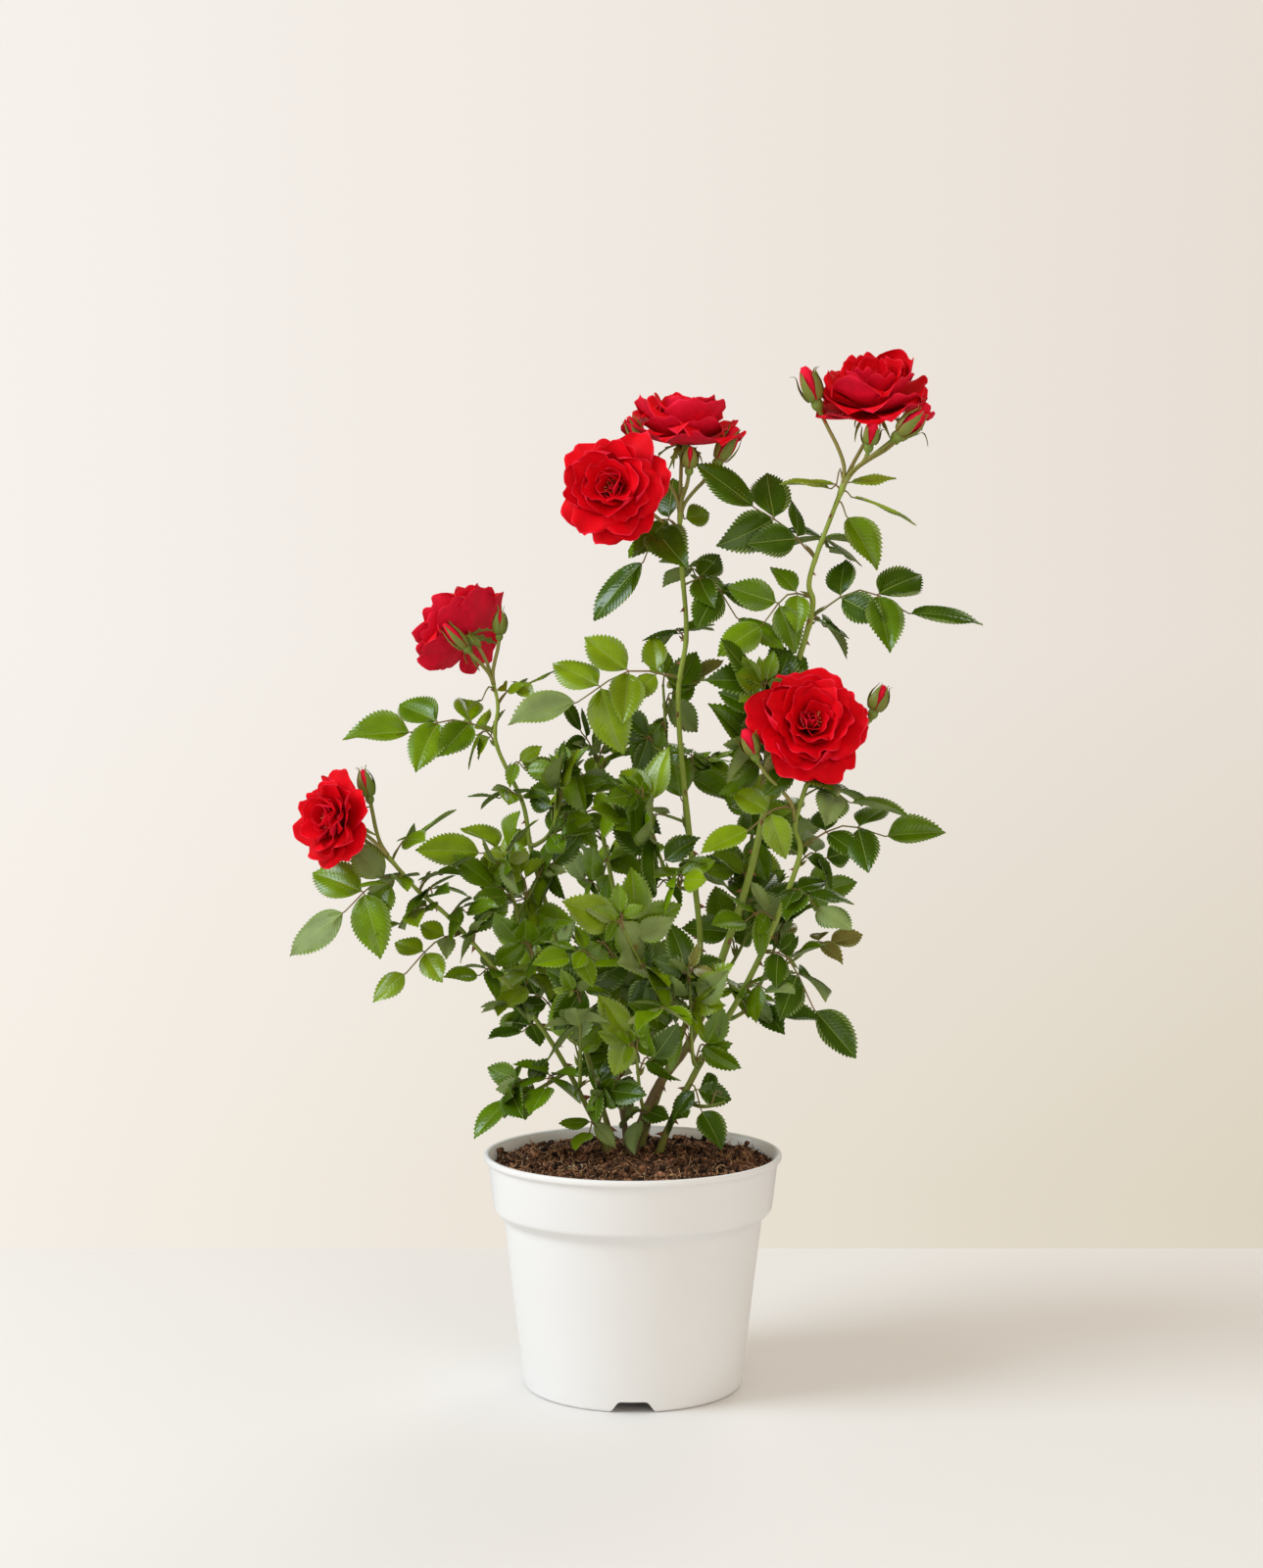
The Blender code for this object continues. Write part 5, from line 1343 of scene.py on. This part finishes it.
def dress_soil():
    """Crumbly potting soil: a lumpy top with loose crumbs, fibres and pale specks on it."""
    pile, rng = Pile(*SOILS), np.random.default_rng(11)
    add_ground(pile)
    ball = small_ball()
    for k in range(CRUMBS):
        add_crumb(pile, ball, k, rng)
    for k in range(FIBRES + SPECKS):
        add_thread(pile, k, rng)
    for k in range(TUFTS):
        add_tuft(pile, k, rng)
    return pile.made("potting_soil", "soil", replaced=("soil",))


def add_ground(pile):
    """The soil's own body: a disc of rings with a wall and a flat foot."""
    out = np.linspace(0, 1, SOIL_RINGS)[1:, None] * SOIL_REACH
    angles = turns_of(SOIL_STEPS)[None, :]
    x, y = out * np.cos(angles), out * np.sin(angles)
    top = np.stack([x, y, soil_height(x, y)], axis=-1)
    wall = top[-1].copy()
    wall[:, 2] = SOIL_FOOT
    points = np.concatenate([[[0, 0, float(soil_height(0, 0))]], top.reshape(-1, 3), wall * (0.96, 0.96, 1),
                             [[0, 0, SOIL_FOOT]]])
    numbers = 1 + np.arange(SOIL_RINGS * SOIL_STEPS).reshape(SOIL_RINGS, SOIL_STEPS)
    hubs, inner, outer = np.zeros(SOIL_STEPS, int), numbers[0], numbers[-1]
    hub = np.stack([hubs, inner, np.roll(inner, -1)], axis=1)
    base = np.stack([hubs + len(points) - 1, np.roll(outer, -1), outer], axis=1)
    pile.add(points, (ring_walls(numbers), GROUND), (hub, GROUND), (base, GROUND))


def add_crumb(pile, ball, k, rng):
    """A loose crumb of soil; about half of them have the ground's colour."""
    points, faces = ball
    r, a = SOIL_REACH * 0.985 * math.sqrt(rng.uniform(0, 1)), rng.uniform(0, math.tau)
    size = 0.45 + 2.4 * rng.uniform(0, 1)**5
    shape = points * (1 + 0.35 * rng.normal(size=(len(points), 1))) * rng.uniform(0.6, 1.2, 3) * size
    x, y = r * math.cos(a), r * math.sin(a)
    place = np.array([x, y, soil_height(x, y) + size * 0.15])
    pile.add(shape + place, (faces, rng.choice([GROUND, DARK, DARK, RED]) if k % 3 else GROUND))


def add_thread(pile, k, rng):
    """A fibre that lies on the soil, or after the last of these a short pale speck."""
    r, a = SOIL_REACH * 0.95 * math.sqrt(rng.uniform(0, 1)), rng.uniform(0, math.tau)
    pale = k >= FIBRES
    length = rng.uniform(2, 5) if pale else rng.uniform(3, 9) if k % 4 else rng.uniform(7, 16)
    heading, curl = rng.uniform(0, math.tau), rng.normal() * (0.9 if pale else 0.35)
    at, line = np.array([r * math.cos(a), r * math.sin(a)]), []
    for i in range(THREAD_POINTS):
        if np.hypot(*at) > SOIL_REACH - 1:
            break
        line.append([*at, soil_height(*at) + 0.6 + 0.6 * math.sin(i * 1.3 + k)])
        heading += curl * 0.5
        at = at + length / 5 * np.array([math.cos(heading), math.sin(heading)])
    if len(line) > 3:
        thick = rng.uniform(0.35, 0.7) if pale else rng.uniform(0.16, 0.42)
        radii = np.full(len(line), thick)
        radii[[0, -1]] *= 0.6
        add_tube(pile, line, radii, 5 if pale else 4, SPECK if pale else (FIBRE, RED, DARK)[k % 3])


def add_tuft(pile, k, rng):
    """A fibre that stands up; most of them do so near the pot's wall."""
    r, a = SOIL_REACH * rng.uniform(0.15, 0.985)**0.4, rng.uniform(0, math.tau)
    foot = np.array([r * math.cos(a), r * math.sin(a), 0])
    foot[2] = soil_height(foot[0], foot[1]) - 0.5
    lean = rng.normal(size=3) * (0.7, 0.7, 0) - foot * (0.004, 0.004, 0) + (0, 0, 1)
    rise = lean / np.linalg.norm(lean) * rng.uniform(2.5, 8)
    sag = rng.normal(size=3) * (0.9, 0.9, 0.3)
    line = [foot, foot + rise * 0.5 + sag * 0.5, foot + rise + sag * 1.5]
    add_tube(pile, line, np.array([1, 0.8, 0.4]) * rng.uniform(0.2, 0.5), 4, DARK if k % 3 else FIBRE)


def small_ball():
    """The points and faces of a twenty-sided ball of radius 1."""
    bm = bmesh.new()
    bmesh.ops.create_icosphere(bm, subdivisions=1, radius=1)
    points = np.array([vert.co[:] for vert in bm.verts])
    faces = np.array([[vert.index for vert in face.verts] for face in bm.faces])
    bm.free()
    return points, faces


# ==== The rose, piece by piece ====

CANE_GREEN, CANE_OLIVE, CANE_BROWN = (0.22, 0.29, 0.035), (0.2, 0.21, 0.035), (0.2, 0.13, 0.045)
BARKS = {"cane_" + name: bark_paint("bark_" + name, foot, CANE_GREEN, low, high)
         for name, foot, low, high in (
             ("left", CANE_OLIVE, 0.12, 0.26),
             ("left_inner", CANE_OLIVE, 0.12, 0.28),
             ("middle", CANE_OLIVE, 0.12, 0.3),
             ("right_tall", CANE_BROWN, 0.15, 0.3),
             ("right_low", CANE_OLIVE, 0.12, 0.27),
             ("back", CANE_BROWN, 0.14, 0.34),
         )}

SOILS = [soil_paint("soil_" + name, dark, light) for name, dark, light in (
    ("ground", (0.002, 0.001, 0.0007), (0.22, 0.1, 0.048)),
    ("dark", (0.003, 0.002, 0.0015), (0.04, 0.02, 0.012)),
    ("red", (0.12, 0.045, 0.02), (0.62, 0.29, 0.15)),
    ("fibre", (0.22, 0.11, 0.05), (0.75, 0.45, 0.24)),
    ("speck", (0.45, 0.36, 0.22), (0.7, 0.6, 0.42)),
)]
GROUND, DARK, RED, FIBRE, SPECK = SOILS

# the inside of the pot is the same plastic painted lighter: painted light on the inner wall
dress_pot(plastic("white_plastic", 0.775), plastic("white_plastic_inside", 0.93))
dress_soil()
for cane in CANES:
    dress_cane(cane, BARKS[cane.name])
dress_thorns()

twigs, petals, greens, stamens = Pile(), Pile(), Pile(), Pile()
sprays = tuple(cane.name.replace("cane", "spray") for cane in CANES)
for cane, node in zip(CANES, sprays):
    leaves = Pile()
    dress_spray(cane, leaves, twigs, petals, greens, stamens)
    leaves.made("leaves_" + node, "leaf", RIM_ANGLE, (node,))
for shoot in SHOOTS:
    leaves = Pile()
    dress_shoot(shoot, leaves, twigs)
    if shoot.name in FINER_SHOOTS:
        dress_shoot(FINER_SHOOTS[shoot.name], leaves, twigs)
    leaves.made("leaves_" + shoot.name, "leaf", RIM_ANGLE, (shoot.name,))
twigs.made("twigs", "stalk", replaced=sprays)
petals.made("petals", "petal", RIM_ANGLE, sprays)
greens.made("sepals", "sepal", RIM_ANGLE, sprays)
stamens.made("stamens", "stamen", replaced=sprays)

# ==== Floor, light and camera ====


def make_floor():
    """A pale tabletop that ends behind the pot, at the photograph's line between floor and wall."""
    mesh = bpy.data.meshes.new("floor")
    mesh.from_pydata([(-4, -4, 0), (4, -4, 0), (4, 0.37, 0), (-4, 0.37, 0)], [], [(0, 1, 2, 3)])
    mesh.materials.append(new_material("floor_paint", (0.748, 0.738, 0.728), 0.8))
    linked("floor", mesh)


def make_light(name, place, target, size, power, colour):
    data = bpy.data.lights.new(name, "AREA")
    data.shape, data.size, data.energy, data.color = "DISK", size, power, colour
    light = linked(name, data)
    light.location = place
    light.rotation_euler = (Vector(target) - Vector(place)).to_track_quat("-Z", "Y").to_euler()


WALL_HIGH = (0.925, 0.883, 0.835), (0.805, 0.74, 0.665)  # what shows behind the plant, left and right: painted shade, darker to the right
WALL_LOW = (0.92, 0.86, 0.785), (0.72, 0.655, 0.53)
SKY, SKY_STRENGTH = (1, 0.89, 0.76, 1), 0.76  # what lights it
SKY_MIRRORED = 0.06  # share of it that shiny leaves mirror: the room in front is dim


def make_world():
    """A pale wall to look at, painted darker to the right and lower down as painted shade, and a warm even
    sky for light.
    """
    world = bpy.data.worlds.new("studio")
    bpy.context.scene.world = world
    world.use_nodes = True
    place = add_node(world, "SeparateXYZ", [(0, add_node(world, "TexCoord"), "Generated")])
    across = add_node(world, "MapRange", [("Value", place, "X")], **{"From Min": -0.25, "From Max": 0.25})
    down = add_node(world, "MapRange", [("Value", place, "Z")], **{"From Min": 0.02, "From Max": -0.2})
    high, low = (ramp_of(world, across, "Result", list(enumerate(ends))) for ends in (WALL_HIGH, WALL_LOW))
    wall = add_node(world, "Mix", [(0, down, "Result"), (6, high, "Color"), (7, low, "Color")],
                    data_type="RGBA")
    ray = add_node(world, "LightPath")
    dim = add_node(world, "MapRange", [("Value", ray, "Is Glossy Ray")],
                   **{"To Min": SKY_STRENGTH, "To Max": SKY_STRENGTH * SKY_MIRRORED})
    sky = add_node(world, "Background", [("Strength", dim, "Result")], Color=SKY)
    shown = add_node(world, "Background", [("Color", wall, 2)])
    both = add_node(world, "MixShader", [(0, ray, "Is Camera Ray"), (1, sky, 0), (2, shown, 0)])
    world.node_tree.links.new(both.outputs[0], world.node_tree.nodes["World Output"].inputs["Surface"])


def make_camera():
    data = bpy.data.cameras.new("camera")
    data.sensor_fit, data.sensor_height, data.lens = "VERTICAL", 36, 2428 * 36 / 1600
    camera = linked("camera", data)
    camera.location = (-0.0009, -1.52, 0.44)
    camera.rotation_euler = (math.radians(90 - 2.063), 0, 0)
    bpy.context.scene.camera = camera


make_floor()
make_light("key", (-2.4, -0.87, 2.25), (0, 0, 0.32), 1.7, 76, (0.79, 0.905, 1))
make_light("fill", (1.2, -3.4, 1.6), (0, 0, 0.3), 2.4, 20, (1, 0.95, 0.86))
make_light("rim", (0.9, 2.4, 2.2), (0, 0, 0.4), 1.4, 14, (1, 0.97, 0.92))
make_world()
make_camera()
bpy.context.scene.view_settings.view_transform = "Standard"
